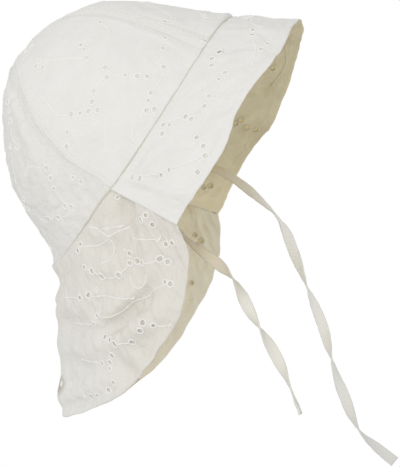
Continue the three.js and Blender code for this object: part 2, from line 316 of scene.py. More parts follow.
def tie(name, node, route, finish, hidden):
    """One tape along its route; the yellower colour near the head starts where the hidden stretch ends."""
    points, tangents, normals, along = tape_route(route)
    wide = np.cross(tangents, normals)
    length = along[-1]
    across = np.linspace(-1, 1, TIE_COLUMNS)
    selvedge = TIE_SELVEDGE * np.exp(-(((1 - np.abs(across)) / TIE_SELVEDGE_SHARE) ** 2))
    cup = TIE_CUP * (across**2 - 0.4)
    rings = []
    places = []
    for i, centre in enumerate(points):
        hem = 0.55 * TIE_THICKNESS / (1 + math.exp(-(along[i] - length + TIE_HEM) / TIE_HEM_EDGE))
        crease = sum(tall * math.sin(along[i] * rate + start) for tall, rate, start in TIE_CREASES)
        half = TIE_THICKNESS / 2 + selvedge
        width = TIE_WIDTH / 2 - TIE_NARROWED * math.sin(along[i] * TIE_NARROWED_RATE) ** 2
        top = [centre + wide[i] * (u * width) + normals[i] * (h + cup[k] + crease * u)
               for k, (u, h) in enumerate(zip(across, half))]
        low = [centre + wide[i] * (u * width) + normals[i] * (cup[k] + crease * u - h - hem)
               for k, (u, h) in enumerate(zip(across, half))]
        rings += top + low[::-1]
        down = along[i] - hidden
        places += [(u * width, down) for u in across] + [(u * width, down) for u in across[::-1]]
    faces = tube_faces(len(points), 2 * TIE_COLUMNS)
    piece = make_piece(name, rings, faces, finish, np.array(places))
    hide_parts(node)
    (points[0] * MM).tolist()
    length * MM
    (points * MM).tolist()


# Each tie has its own colours. The right one is drawn darker as painted shade, because it is nearer the
# light. The left one is drawn lighter as painted light, where the brim shadows it.
right_tape_dimmed = tape_finish("right_tape_dimmed", RIGHT_TAPE_DIMMED, RIGHT_TAPE_DIMMED_THREADS, RIGHT_TAPE_DIMMED_NEAR_HEAD)
left_tape_brightened = tape_finish("left_tape_brightened", LEFT_TAPE_BRIGHTENED, LEFT_TAPE_BRIGHTENED_THREADS, LEFT_TAPE_BRIGHTENED_NEAR_HEAD)
tie("tie_right_tape", "tie_right", TIE_RIGHT_ROUTE, right_tape_dimmed, RIGHT_TAPE_HIDDEN)
tie("tie_left_tape", "tie_left", TIE_LEFT_ROUTE, left_tape_brightened, 0.0)

# ---------------------------------------------------------------------------------------
# The hat's form: one seam round the head opening, the crown above it and the skirt of brim
# and flap below it. An angle runs round the head opening, 0 at the forehead, 90 at the left
# ear, 180 at the nape; a row runs from 0 at the head seam to 1 at the crown's top or the hem.
HEAD_LENGTH = 182
HEAD_WIDTH = 150
EAR_DIP = 8
NAPE_DIP = 2
CROWN_HEIGHT = 92
CROWN_TOP_BACK = 6
WALL = 1.5
TILT = math.radians(24)

# rise, then the shares of half length and half width left at that level (front, side,
# back), then the angles of the front and back gore seams.
CROWN_LEVELS = np.array([
    (0.00, 1.000, 1.000, 1.000, 40, 110),
    (0.11, 0.930, 0.990, 0.960, 40, 110),
    (0.24, 0.860, 0.965, 0.910, 39, 111),
    (0.41, 0.790, 0.905, 0.835, 38, 112),
    (0.60, 0.705, 0.800, 0.705, 36, 110),
    (0.78, 0.580, 0.635, 0.505, 34, 105),
    (0.91, 0.395, 0.420, 0.310, 32, 99),
    (0.98, 0.200, 0.205, 0.145, 31, 95),
    (1.00, 0.000, 0.000, 0.000, 30, 92),
])
RISE, FRONT, SIDE, BACK, FRONT_SEAM, BACK_SEAM = range(6)

# angle, forward, aside, drop, swell
BRIM_HEM = np.array([
    (0, 112, 0, 35, 0), (40, 88, 65, 38, 0), (76, 30, 94, 50, 2), (94, 0, 97, 52, 3),
    (110, -21, 92, 53, 3),
])
FLAP_HEM = np.array([
    (110, -21, 92, 53, 3), (122, -38, 88, 69, 3), (136, -67, 82, 79, 4),
    (150, -104, 70, 82, 4), (165, -141, 45, 71, 4), (180, -167, 0, 53, 3.5),
])
BRIM_END = 110
# angle, spread, drop
HEM_SAGS = [
    (-38, 10, 3), (-88, 20, 4.5), (-134, 18, 5), (34, 20, 2.5), (84, 14, -1.5), (152, 20, -4.5),
]
# angle, forward, drop: where the hem was cut or pulled a little off its even curve
HEM_TRIM = np.array([
    (-180, 0, 0.4), (-172, 0, 1.2), (-165, 0, 1.8), (-158, 0, 1.4), (-152, 0, 0.3), (-147, -0.2, 0),
    (-142, -0.8, -1), (-137, -0.4, -0.2), (-132, -1.1, -0.7), (-127, -1.3, -1), (-122, -0.3, -0.6),
    (-117, -1.2, -0.2), (-112, -3.2, -0.9), (-107, -2.6, -2.0), (-100, -1.2, -3), (-91, 0, -3.3),
    (-84, 0, -3.2), (-77, 0, -2.3), (-71, 0, -2.8), (-66.5, 0, -4), (-61, 0, -2.4), (-54, 0, 0),
    (-49, 0, 1.7), (-40, 0, 2), (-28, 0, 2.4), (-10, 0, 0.8), (0, 0, 0), (22, 0, 0.2), (38, 0, 0.3),
    (47, 0, 1.2), (55, 0, 1.6), (62, 0, 2.4), (68, 0, 0.8), (73, 0, -1.6), (80, 0, -2.6),
    (88, 0, -2.6), (96, 0, -2), (105, 1.4, -0.8), (112, 1.4, 0), (122, -1.8, -0.6), (129, -1.7, -1),
    (136, -0.4, -0.3), (145, 0, -0.2), (150, 0, 1.5), (154, 0, 2.4), (159, 0, 2), (168, 0, 1.4),
    (180, 0, 0.4),
])
# angle, down, turn, length, width, height
FOLDS = [
    (-118, 0.22, 50, 18, 6, -3), (-124, 0.42, 40, 20, 6, -2.5), (-148, 0.62, 20, 26, 7, -4),
    (-140, 0.80, 25, 24, 6, 2.5), (122, 0.35, -45, 20, 6, -2.5), (146, 0.62, -20, 26, 7, -3),
    (180, 0.60, 90, 26, 9, 2), (-64, 0.85, 70, 14, 6, -2), (30, 0.80, 80, 16, 7, 2),
]


def stack(*columns):
    """Columns of numbers side by side, as points."""
    return np.stack(np.broadcast_arrays(*columns), axis=-1)


def turn_between(angle, other):
    """The way round from one angle to the other, from -180 to 180."""
    return (angle - other + 180) % 360 - 180


def head_seam(angle):
    """Points of the seam round the head: an oval that dips at the ears and the nape."""
    a = np.radians(angle)
    dip = EAR_DIP * np.sin(a) ** 2 + NAPE_DIP * (1 - np.cos(a)) / 2
    return stack(np.cos(a) * HEAD_LENGTH / 2, np.sin(a) * HEAD_WIDTH / 2, -dip)


def level(row, column):
    """One column of the crown's levels, at any row."""
    numbers = np.linspace(0, 1, len(CROWN_LEVELS))
    return smooth(numbers, CROWN_LEVELS[:, column], row)


def crown(angle, row):
    """Points of the crown: the head seam drawn in as it rises."""
    facing = np.cos(np.radians(angle))
    lengthwise = np.where(facing > 0, level(row, FRONT), level(row, BACK))
    share = lengthwise * facing**2 + level(row, SIDE) * (1 - facing**2)
    rise = level(row, RISE)
    seam = head_seam(angle)
    return stack(
        seam[..., 0] * share - CROWN_TOP_BACK * (1 - share),
        seam[..., 1] * share,
        seam[..., 2] * (1 - rise) + CROWN_HEIGHT * rise,
    )


def hem(angle):
    """Points of the hem of brim and flap, and how far the cloth swells above them."""
    around = np.degrees(np.arccos(np.cos(np.radians(angle))))
    values = []
    for column in range(1, 5):
        flat_ends = column != 2
        brim = smooth(BRIM_HEM[:, 0], BRIM_HEM[:, column], around, level_start=flat_ends)
        flap = smooth(FLAP_HEM[:, 0], FLAP_HEM[:, column], around, level_end=flat_ends)
        values.append(np.where(around <= BRIM_END, brim, flap))
    forward, aside, drop, swell = values
    side = np.sign(np.sin(np.radians(angle)))
    return stack(forward, aside * side, -drop), swell


def fold_height(folds, angle, row, fall):
    """Height of a table of folds: each a long soft ridge or hollow at its own lean."""
    height = 0
    for at, down_at, turn, length, width, depth in folds:
        across = np.radians(turn_between(angle, at)) * HEAD_LENGTH / 2
        down = (row - down_at) * fall
        lean = math.radians(turn)
        along = (across * math.cos(lean) + down * math.sin(lean)) / length
        off = (down * math.cos(lean) - across * math.sin(lean)) / width
        height = height + depth * np.exp(-(along**2) - off**2)
    return height


def skirt(angle, row):
    """Points of brim and flap, from the head seam down to the hem."""
    seam = head_seam(angle)
    hem_point, swell = hem(angle)
    fall = np.linalg.norm(hem_point - seam, axis=-1)
    a = np.radians(angle)
    outwards = unit(stack(np.cos(a), np.sin(a), 0.6))
    belly = 4 * swell * row * (1 - row)
    sag = sum(drop * np.exp(-((turn_between(angle, at) / spread) ** 2)) for at, spread, drop in HEM_SAGS)
    fold = fold_height(FOLDS, angle, row, fall) * np.sin(np.minimum(row * 4, 1) * math.pi / 2)
    share = np.asarray(row)[..., None]
    point = seam + (hem_point - seam) * share + outwards * (belly + fold)[..., None]
    round_angle = turn_between(angle, 0)
    point[..., 0] += smooth(HEM_TRIM[:, 0], HEM_TRIM[:, 1], round_angle) * row**2
    point[..., 2] -= (sag + smooth(HEM_TRIM[:, 0], HEM_TRIM[:, 2], round_angle)) * row**2
    return point


ANGLE_STEP = 1.5
ROW_STEP = 0.01


def outward(surface, angle, row, facing):
    """The way out of a surface at some of its places."""
    low = np.maximum(row - ROW_STEP, 0)
    high = np.minimum(row + ROW_STEP, 1)
    around = surface(angle + ANGLE_STEP, row) - surface(angle - ANGLE_STEP, row)
    along = surface(angle, high) - surface(angle, low)
    return unit(np.cross(around, along) * facing)


def head_seat():
    """The highest point inside the crown with the front raised: the part's origin."""
    rows = np.linspace(0, 1, 201)
    angle = np.zeros_like(rows)
    inside = crown(angle, rows) - WALL * outward(crown, angle, np.minimum(rows, 0.985), 1)
    height = inside[:, 0] * math.sin(TILT) + inside[:, 2] * math.cos(TILT)
    return inside[np.argmax(height)]


def raise_front(points):
    """The form turned about the axis through the ears, with its front edge raised."""
    return stack(
        points[..., 0] * math.cos(TILT) - points[..., 2] * math.sin(TILT),
        points[..., 1],
        points[..., 0] * math.sin(TILT) + points[..., 2] * math.cos(TILT),
    )


SEAT = raise_front(head_seat())

# ---------------------------------------------------------------------------------------
# Cloth: each panel is cut flat, with a hole for every eyelet, and carried onto the form.
# It is two cloths with a little air between: the outer eyelet cloth and the one inside.
CLOTH_THICKNESS = 0.3
HEM_STITCH = 5.5
SEAM_STITCH = 1.9
WELT_WIDTH = 4.4
CUT_SPACING = 1.3
EDGE_ROWS = (0.3, 0.75, 1.3)
EYELET_POINTS = 14
EYELET_MARGIN = 0.8
HEM_SLIP = 0.02
PLAN_STEP = 0.4


def rumple(places, size, seed):
    """Soft random hills, about one every so many millimetres, from -1 to 1."""
    chance = np.random.RandomState(seed)
    angles = chance.uniform(0, math.tau, (64, 64))
    x, y = places[..., 0] / size, places[..., 1] / size
    cell_x, cell_y = np.floor(x).astype(int), np.floor(y).astype(int)
    in_x, in_y = x - cell_x, y - cell_y
    ease_x = in_x**3 * (in_x * (in_x * 6 - 15) + 10)
    ease_y = in_y**3 * (in_y * (in_y * 6 - 15) + 10)

    def corner(dx, dy):
        a = angles[(cell_x + dx) % 64, (cell_y + dy) % 64]
        return np.cos(a) * (in_x - dx) + np.sin(a) * (in_y - dy)

    near = corner(0, 0) * (1 - ease_x) + corner(1, 0) * ease_x
    far = corner(0, 1) * (1 - ease_x) + corner(1, 1) * ease_x
    return (near * (1 - ease_y) + far * ease_y) * 1.4


class Panel:
    """One cut panel: a flat plan in millimetres, and where it lies on the form."""

    def __init__(self, surface, facing, right, left, last_row, seed, slack, depth, creases,
                 welt=0, side_lift=0):
        self.surface = surface
        self.facing = facing
        self.right = right
        self.left = left
        self.hemmed = surface is skirt
        self.seed = seed
        self.slack = slack
        self.depth = depth
        self.creases = creases
        self.welt = welt
        self.side_lift = side_lift
        self.rows = np.linspace(0, last_row, 41)
        share = np.linspace(0, 1, 61)
        widths = []
        for row in self.rows:
            angles = right(row) + (left(row) - right(row)) * share
            line = surface(angles, np.full(61, row))
            widths.append(np.linalg.norm(np.diff(line, axis=0), axis=1).sum())
        self.widths = np.array(widths)
        middle = (right(self.rows) + left(self.rows)) / 2
        if self.hemmed:
            self.length = np.mean([self.fall(a) for a in (right(0), middle[0], left(0))])
            self.reach = self.rows * self.length
        else:
            line = surface(middle, self.rows)
            steps = np.linalg.norm(np.diff(line, axis=0), axis=1)
            self.reach = np.concatenate([[0], np.cumsum(steps)])
            self.length = self.reach[-1]

    def fall(self, angle):
        """How far the hem is from the head seam."""
        return np.linalg.norm(hem(angle)[0] - head_seam(angle), axis=-1)

    def width(self, down):
        return np.interp(down, self.reach, self.widths)

    def place(self, plan):
        """The angle and row on the form of places in the plan, a little uneven at a hem."""
        row = np.interp(plan[..., 1], self.reach, self.rows)
        share = plan[..., 0] / self.width(plan[..., 1]) + 0.5
        right = self.right(row)
        angle = right + (self.left(row) - right) * share
        if self.hemmed:
            round_hem = stack(angle, 0 * angle)
            slip = rumple(round_hem, 11, self.seed + 7) + 0.5 * rumple(round_hem, 4, self.seed + 8)
            row = row + HEM_SLIP * slip * row**5
        return angle, row

    def plan(self, angle, row):
        """The places in the plan of an angle and row on the form."""
        angle, row = np.asarray(angle, float), np.asarray(row, float)
        middle = (self.right(row) + self.left(row)) / 2
        angle = middle + turn_between(angle, middle)
        down = np.interp(row, self.rows, self.reach)
        share = (angle - self.right(row)) / (self.left(row) - self.right(row))
        return stack((share - 0.5) * self.width(down), down)

    def edges(self, plan):
        """How far a place is from the head seam, the hem or top, and the nearer side."""
        angle, row = self.place(plan)
        side = self.width(plan[..., 1]) / 2 - np.abs(plan[..., 0])
        if self.hemmed:
            fall = self.fall(angle)
            return row * fall, (1 - row) * fall, side
        return plan[..., 1], self.length - plan[..., 1], side

    def lie(self, plan, lift):
        """Points of the finished part, and the way out of the cloth there."""
        angle, row = self.place(plan)
        out = outward(self.surface, angle, row, self.facing)
        points = self.surface(angle, row) + out * np.asarray(lift)[..., None]
        return raise_front(points) - SEAT, raise_front(out)

    def shift(self, plan, across, down):
        """The plan's places that lie so many real millimetres across and down from here."""
        def at(dx, dy):
            return self.surface(*self.place(plan + np.array([dx, dy])))

        over = (at(PLAN_STEP, 0) - at(-PLAN_STEP, 0)) / (2 * PLAN_STEP)
        along = (at(0, PLAN_STEP) - at(0, -PLAN_STEP)) / (2 * PLAN_STEP)
        over_length = np.linalg.norm(over, axis=-1)
        first = over / over_length[..., None]
        second = np.cross(unit(np.cross(over, along)), first)
        lean = (along * first).sum(-1)
        straight = (along * second).sum(-1)
        dy = down / straight
        dx = (across - dy * lean) / over_length
        return plan + stack(dx, dy)


def row_of(panel, down, inset=0.0):
    """Evenly spaced points across a panel, so far in from both of its sides."""
    half = panel.width(down) / 2 - inset
    count = max(int(2 * half / CUT_SPACING), 2)
    return [(x, down) for x in np.linspace(-half, half, count + 1)] if half > 0.2 else []


def outline(panel, downs):
    """The edge of the pattern, once round."""
    rim = row_of(panel, 0.0)
    rim += [(panel.width(d) / 2, d) for d in downs[1:-1]]
    rim += row_of(panel, panel.length)[::-1]
    rim += [(-panel.width(d) / 2, d) for d in downs[1:-1]][::-1]
    return rim


def inner_points(panel, downs):
    """Points inside the pattern: rows close to its edges and the hem stitching, and a
    staggered net over the rest."""
    length = panel.length
    points = []
    for inset in EDGE_ROWS:
        points += row_of(panel, inset, inset)
        points += row_of(panel, length - inset, inset)
        points += [(side * (panel.width(d) / 2 - inset), d) for d in downs[2:-2] for side in (-1, 1)
                   if panel.width(d) / 2 > inset + 0.3]
    stitched = [HEM_STITCH - 0.7, HEM_STITCH, HEM_STITCH + 0.7] if panel.hemmed else []
    for inset in stitched:
        points += row_of(panel, length - inset, EDGE_ROWS[-1] + 0.5)
    inset = EDGE_ROWS[-1] + 0.5 * CUT_SPACING
    rows = int(length / (CUT_SPACING * 0.87))
    for number in range(1, rows):
        down = length * number / rows
        half = panel.width(down) / 2 - inset
        near_stitches = any(abs(length - row - down) < 0.5 for row in stitched)
        if near_stitches or down < inset or down > length - inset or half < 0.5:
            continue
        count = max(int(2 * half / CUT_SPACING), 1)
        stagger = 0.5 * (number % 2)
        across = (np.arange(count + 1 - number % 2) + stagger) / count * 2 * half - half
        points += [(x, down) for x in across]
    return np.array(points)


def eyelet_ring(panel, centre, reach, start=0.0):
    """Points round an eyelet, round on the form as it is worn."""
    turn = (np.arange(EYELET_POINTS) + start) * math.tau / EYELET_POINTS
    return panel.shift(np.repeat([centre], EYELET_POINTS, axis=0),
                       reach * np.cos(turn), reach * np.sin(turn))


def margin_points(panel, eyelets):
    """A ring of points just outside each eyelet, left out where another one is near."""
    margins = [eyelet_ring(panel, centre, radius + EYELET_MARGIN, 0.5) for centre, radius in eyelets]
    points = []
    for number, ring in enumerate(margins):
        clear = np.ones(len(ring), bool)
        for other, (centre, radius) in enumerate(eyelets):
            if other != number:
                clear &= np.linalg.norm(ring - centre, axis=1) > radius + 0.35
        for earlier in margins[:number]:
            if np.linalg.norm(earlier.mean(0) - ring.mean(0)) < 2 * (2 + EYELET_MARGIN):
                gaps = np.linalg.norm(ring[:, None] - earlier[None], axis=2).min(1)
                clear &= gaps > 0.3
        points.extend(tuple(p) for p in ring[clear])
    return points


def cut(panel, eyelets):
    """The flat pattern: its points and its triangles, with the eyelets left open.
    eyelets is a list of places in the plan and the radius of each."""
    downs = np.linspace(0, panel.length, int(panel.length / CUT_SPACING) + 1)
    points = []
    edges = []
    hole_of = []
    loops = [outline(panel, downs)] + [eyelet_ring(panel, *eyelet) for eyelet in eyelets]
    for number, places in enumerate(loops):
        first = len(points)
        count = len(places)
        points.extend(tuple(p) for p in places)
        edges.extend((first + i, first + (i + 1) % count) for i in range(count))
        hole_of += [number] * count
    points.extend(margin_points(panel, eyelets))
    free = inner_points(panel, downs)
    keep = np.ones(len(free), bool)
    for centre, radius in eyelets:
        keep &= np.linalg.norm(free - centre, axis=1) > radius + EYELET_MARGIN + 0.5
    points.extend(tuple(p) for p in free[keep])
    hole_of = np.array(hole_of + [0] * (len(points) - len(hole_of)))
    result = delaunay_2d_cdt([Vector(p) for p in points], edges, [], 0, 1e-6)
    flat = np.array([tuple(p) for p in result[0]])
    triangles = np.array(result[2])
    came_from = np.array([origins[0] if origins else -1 for origins in result[3]])
    hole = np.where(came_from >= 0, hole_of[came_from], 0)[triangles]
    in_hole = (hole[:, 0] > 0) & (hole[:, 0] == hole[:, 1]) & (hole[:, 1] == hole[:, 2])
    centre = flat[triangles].mean(1)
    outside = np.abs(centre[:, 0]) > panel.width(centre[:, 1]) / 2 + 1e-6
    triangles = triangles[~(in_hole | outside)]
    a, b, c = (flat[triangles[:, k]] for k in range(3))
    turn_way = (b - a)[:, 0] * (c - a)[:, 1] - (b - a)[:, 1] * (c - a)[:, 0]
    triangles[turn_way < 0] = triangles[turn_way < 0][:, ::-1]
    return flat, triangles[np.abs(turn_way) > 1e-7]


def sew_layer(name, panel, flat, triangles, top, bottom, finish, back=None):
    """One cloth of a panel as a thin closed piece between two heights over the form."""
    upper, _ = panel.lie(flat, top)
    lower, _ = panel.lie(flat, bottom)
    count = len(flat)
    pairs = np.concatenate([triangles[:, [0, 1]], triangles[:, [1, 2]], triangles[:, [2, 0]]])
    seen = {}
    for a, b in pairs.tolist():
        seen[(a, b)] = seen.get((a, b), 0) + 1
    walls = [(a, b, b + count, a + count) for a, b in seen if (b, a) not in seen]
    faces = [tuple(t) for t in triangles.tolist()]
    faces += [(c + count, b + count, a + count) for a, b, c in triangles.tolist()]
    faces += [(b, a, d, c) for a, b, c, d in walls]
    points = np.concatenate([upper, lower])
    inside = (back, len(triangles), 2 * len(triangles)) if back else None
    return make_piece(name, points, faces, finish, np.concatenate([flat, flat]), inside)


# How the cloth rumples: height, size and draw of its hills, its sharp creases and its folds,
# then how fast all of it dies away towards a seam and how much is left there.
HILLS = [(0.9, 31, 0), (0.45, 12, 1), (0.26, 4.5, 2)]
CREASES = (0.5, 19, 20)
CREASE_SHARPNESS = 0.10
SOFT_FOLDS = [(0.62, 25, 40), (0.5, 11, 60)]
HELD_REACH = 7
HELD_SHARE = 0.2
ROLL_REACH = 0.9
HEM_ROLL_REACH = 1.1


def crease_lines(plan, size, seed):
    """Thin wandering valleys, 1 along their middles and 0 away from them."""
    line = rumple(plan, size, seed)
    patch = np.clip(rumple(plan, size * 1.7, seed + 50) * 2.2 + 0.25, 0, 1)
    return np.exp(-((line / CREASE_SHARPNESS) ** 2)) * patch


def soft_folds(plan, size, seed):
    """Wandering folds, a hill beside a valley, that fade in and out; from -1 to 1."""
    pull_size = size * 0.9
    pulled = stack(rumple(plan, pull_size, seed + 31), rumple(plan, pull_size, seed + 32)) * size * 0.3
    across = rumple(plan + pulled, size, seed) / 0.3
    patch = np.clip(rumple(plan, size * 1.8, seed + 57) * 1.9 + 0.45, 0, 1)
    return 2.3 * across * np.exp(-(across**2)) * patch


# Beside the head seam the cloth stands up in a lip and then dips into the seam. Over the
# forehead, where the seam is pulled tight, both change by so much more.
FOREHEAD_REACH = 28
LIP = 0.2
CROWN_LIP_MORE = 0.3
SKIRT_LIP_MORE = -0.9
LIP_PLACE = 2.6
LIP_REACH = 2.4
DIP = 0.05
DIP_MORE = 1.6
DIP_REACH = 0.55
DIP_REACH_MORE = 0.5
# Puckers: how high they stand, how much closer they lie than their size, how far they reach.
PUCKER_SIZE = 14
SEAM_PUCKER = (0.32, 3.0, 8)
SIDE_PUCKER = (0.25, 2.4, 7)
HEM_PUCKER = (0.4, 2.2, 4.5)
# The groove that the hem stitching draws in, and the waves of the edge.
HEM_GROOVE = 0.22
HEM_GROOVE_REACH = 0.8
HEM_WAVE = 1.5
HEM_WAVE_SIZE = 19
HEM_WAVE_REACH = 11
# The cut edges that are pressed to one side of a seam lift the cloth over them.
WELT_HEIGHT = 0.5
WELT_EDGE = 0.4


def beside(gap, reach, place=0.0):
    """1 at a place so far in from an edge, dying away on both sides of it."""
    return np.exp(-(((gap - place) / reach) ** 2))


def sewn(gap, reach):
    """The same for puckers, that start just inside a seam."""
    return beside(gap, reach) * np.clip(gap / 1.5, 0.3, 1)


def rumpled(panel, plan):
    """Hills, creases and soft folds of a cloth that is held nowhere."""
    seed = panel.seed
    height = sum(tall * rumple(plan, size, seed + draw) for tall, size, draw in HILLS)
    deep, size, draw = CREASES
    height = height - deep * crease_lines(plan, size, seed + draw)
    height = height + sum(tall * soft_folds(plan, size, seed + draw) for tall, size, draw in SOFT_FOLDS)
    return height * panel.slack


def hem_relief(panel, across, end):
    """The stitching's groove, with puckers across it, and the waves of the edge."""
    tall, closer, reach = HEM_PUCKER
    puckers = rumple(stack(across * closer, end), PUCKER_SIZE, panel.seed + 4)
    waves = rumple(stack(across, end * 0.4), HEM_WAVE_SIZE, panel.seed + 5)
    groove = HEM_GROOVE * beside(end, HEM_GROOVE_REACH, HEM_STITCH)
    ripples = tall * puckers * beside(end, reach, HEM_STITCH)
    return ripples - groove + HEM_WAVE * waves * beside(end, HEM_WAVE_REACH)


def cloth_relief(panel, plan):
    """Height of the outer cloth over the form: rumples, creases, seams, puckers and hem."""
    seam, end, side = panel.edges(plan)
    angle, row = panel.place(plan)
    across, down = plan[..., 0], plan[..., 1]
    held = np.minimum(np.minimum(seam, end), side) if panel.hemmed else np.minimum(seam, side)
    height = rumpled(panel, plan) * np.clip(held / HELD_REACH, HELD_SHARE, 1)
    height = height + fold_height(panel.creases, angle, row, panel.fall(angle))
    front = beside(turn_between(angle, 0), FOREHEAD_REACH)
    lip_more = SKIRT_LIP_MORE if panel.hemmed else CROWN_LIP_MORE
    height = height + (LIP + lip_more * front) * beside(seam, LIP_REACH, LIP_PLACE)
    height = height - (DIP + DIP_MORE * front) * beside(seam, DIP_REACH + DIP_REACH_MORE * front)
    tall, closer, reach = SEAM_PUCKER
    puckers = rumple(stack(across * closer, seam), PUCKER_SIZE, panel.seed + 3)
    height = height + tall * puckers * sewn(seam, reach)
    if panel.hemmed:
        height = height + hem_relief(panel, across, end)
    tall, closer, reach = SIDE_PUCKER
    puckers = rumple(stack(side, down * closer), PUCKER_SIZE, panel.seed + 6)
    height = height + tall * puckers * sewn(side, reach)
    if panel.welt:
        own = panel.width(down) / 2 + panel.welt * across
        height = height + WELT_HEIGHT / (1 + np.exp((own - WELT_WIDTH) / WELT_EDGE)) * np.clip(seam / 3, 0, 1)
    return height


SIDE_RISE_REACH = 4.5
# How much of a quarter round a sewn edge takes, and of the outer cloth's relief the inner one.
SEWN_ROLL = 0.35
FOLLOWED = 0.92


def side_rise(panel, plan):
    """How far the outer cloth stands up beside the join of brim and flap."""
    seam, end, side = panel.edges(plan)
    return panel.side_lift * beside(side, SIDE_RISE_REACH)


def edge_roll(panel, plan):
    """0 inside a panel, rising to 1 at its edge as a quarter round."""
    seam, end, side = panel.edges(plan)

    def quarter_round(gap, reach):
        return 1 - np.sqrt(np.clip(1 - (1 - np.clip(gap / reach, 0, 1)) ** 2, 0, 1))

    roll = SEWN_ROLL * quarter_round(np.minimum(seam, side), ROLL_REACH)
    return np.maximum(roll, quarter_round(end, HEM_ROLL_REACH)) if panel.hemmed else roll


def outer_heights(panel, plan):
    """Upper and lower face of the outer cloth over the form."""
    roll = edge_roll(panel, plan)
    top = cloth_relief(panel, plan) + side_rise(panel, plan) - 0.5 * panel.depth * roll
    return top, top - CLOTH_THICKNESS + 0.15 * roll


def inner_heights(panel, plan):
    """Upper and lower face of the cloth inside."""
    roll = edge_roll(panel, plan)
    base = cloth_relief(panel, plan) * FOLLOWED + 0.1 * rumple(plan, 9, panel.seed + 9)
    low = base - panel.depth + 0.4 * panel.depth * roll
    return low + CLOTH_THICKNESS - 0.1 * roll, low


# ---------------------------------------------------------------------------------------
# Raised thread: satin-stitched rims round the eyelets, fine corded lines, little leaves and
# rows of sewing stitches. All of it is swept along paths that lie on the cloth.
RIM_WIDTH = 0.55
RIM_HEIGHT = 0.42
CORD_WIDTH = 0.5
CORD_HEIGHT = 0.4
FINE_WIDTH = 0.42
FINE_HEIGHT = 0.24
STITCH_LENGTH = 2.4
STITCH_GAP = 0.6
THREAD_WIDTH = 0.2
THREAD_HEIGHT = 0.3
LEAF_LENGTH = 3.8
LEAF_WIDTH = 0.85
LEAF_HEIGHT = 0.5
LEAF_BEND = 0.35
RIM_POINTS = 24
RIM_REACH = 0.35
LINE_STEP = 0.6
# What an eyelet keeps clear: to the edges, to the next one, to a cord and to a leaf.
EDGE_GAP = 1.4
EYELET_GAP = 1.0
CORD_GAP = 0.45
LEAF_GAP = 3.0
# Sections of a cord and of a rim: shares of its width across and of its height up.
ROUND = [(-1, -0.4), (-0.75, 0.5), (0, 1), (0.75, 0.5), (1, -0.4)]
RIM = [(-1, -0.3), (-0.7, 0.55), (0.1, 1), (0.85, 0.55), (1.05, -0.5), (0.9, -1.5)]


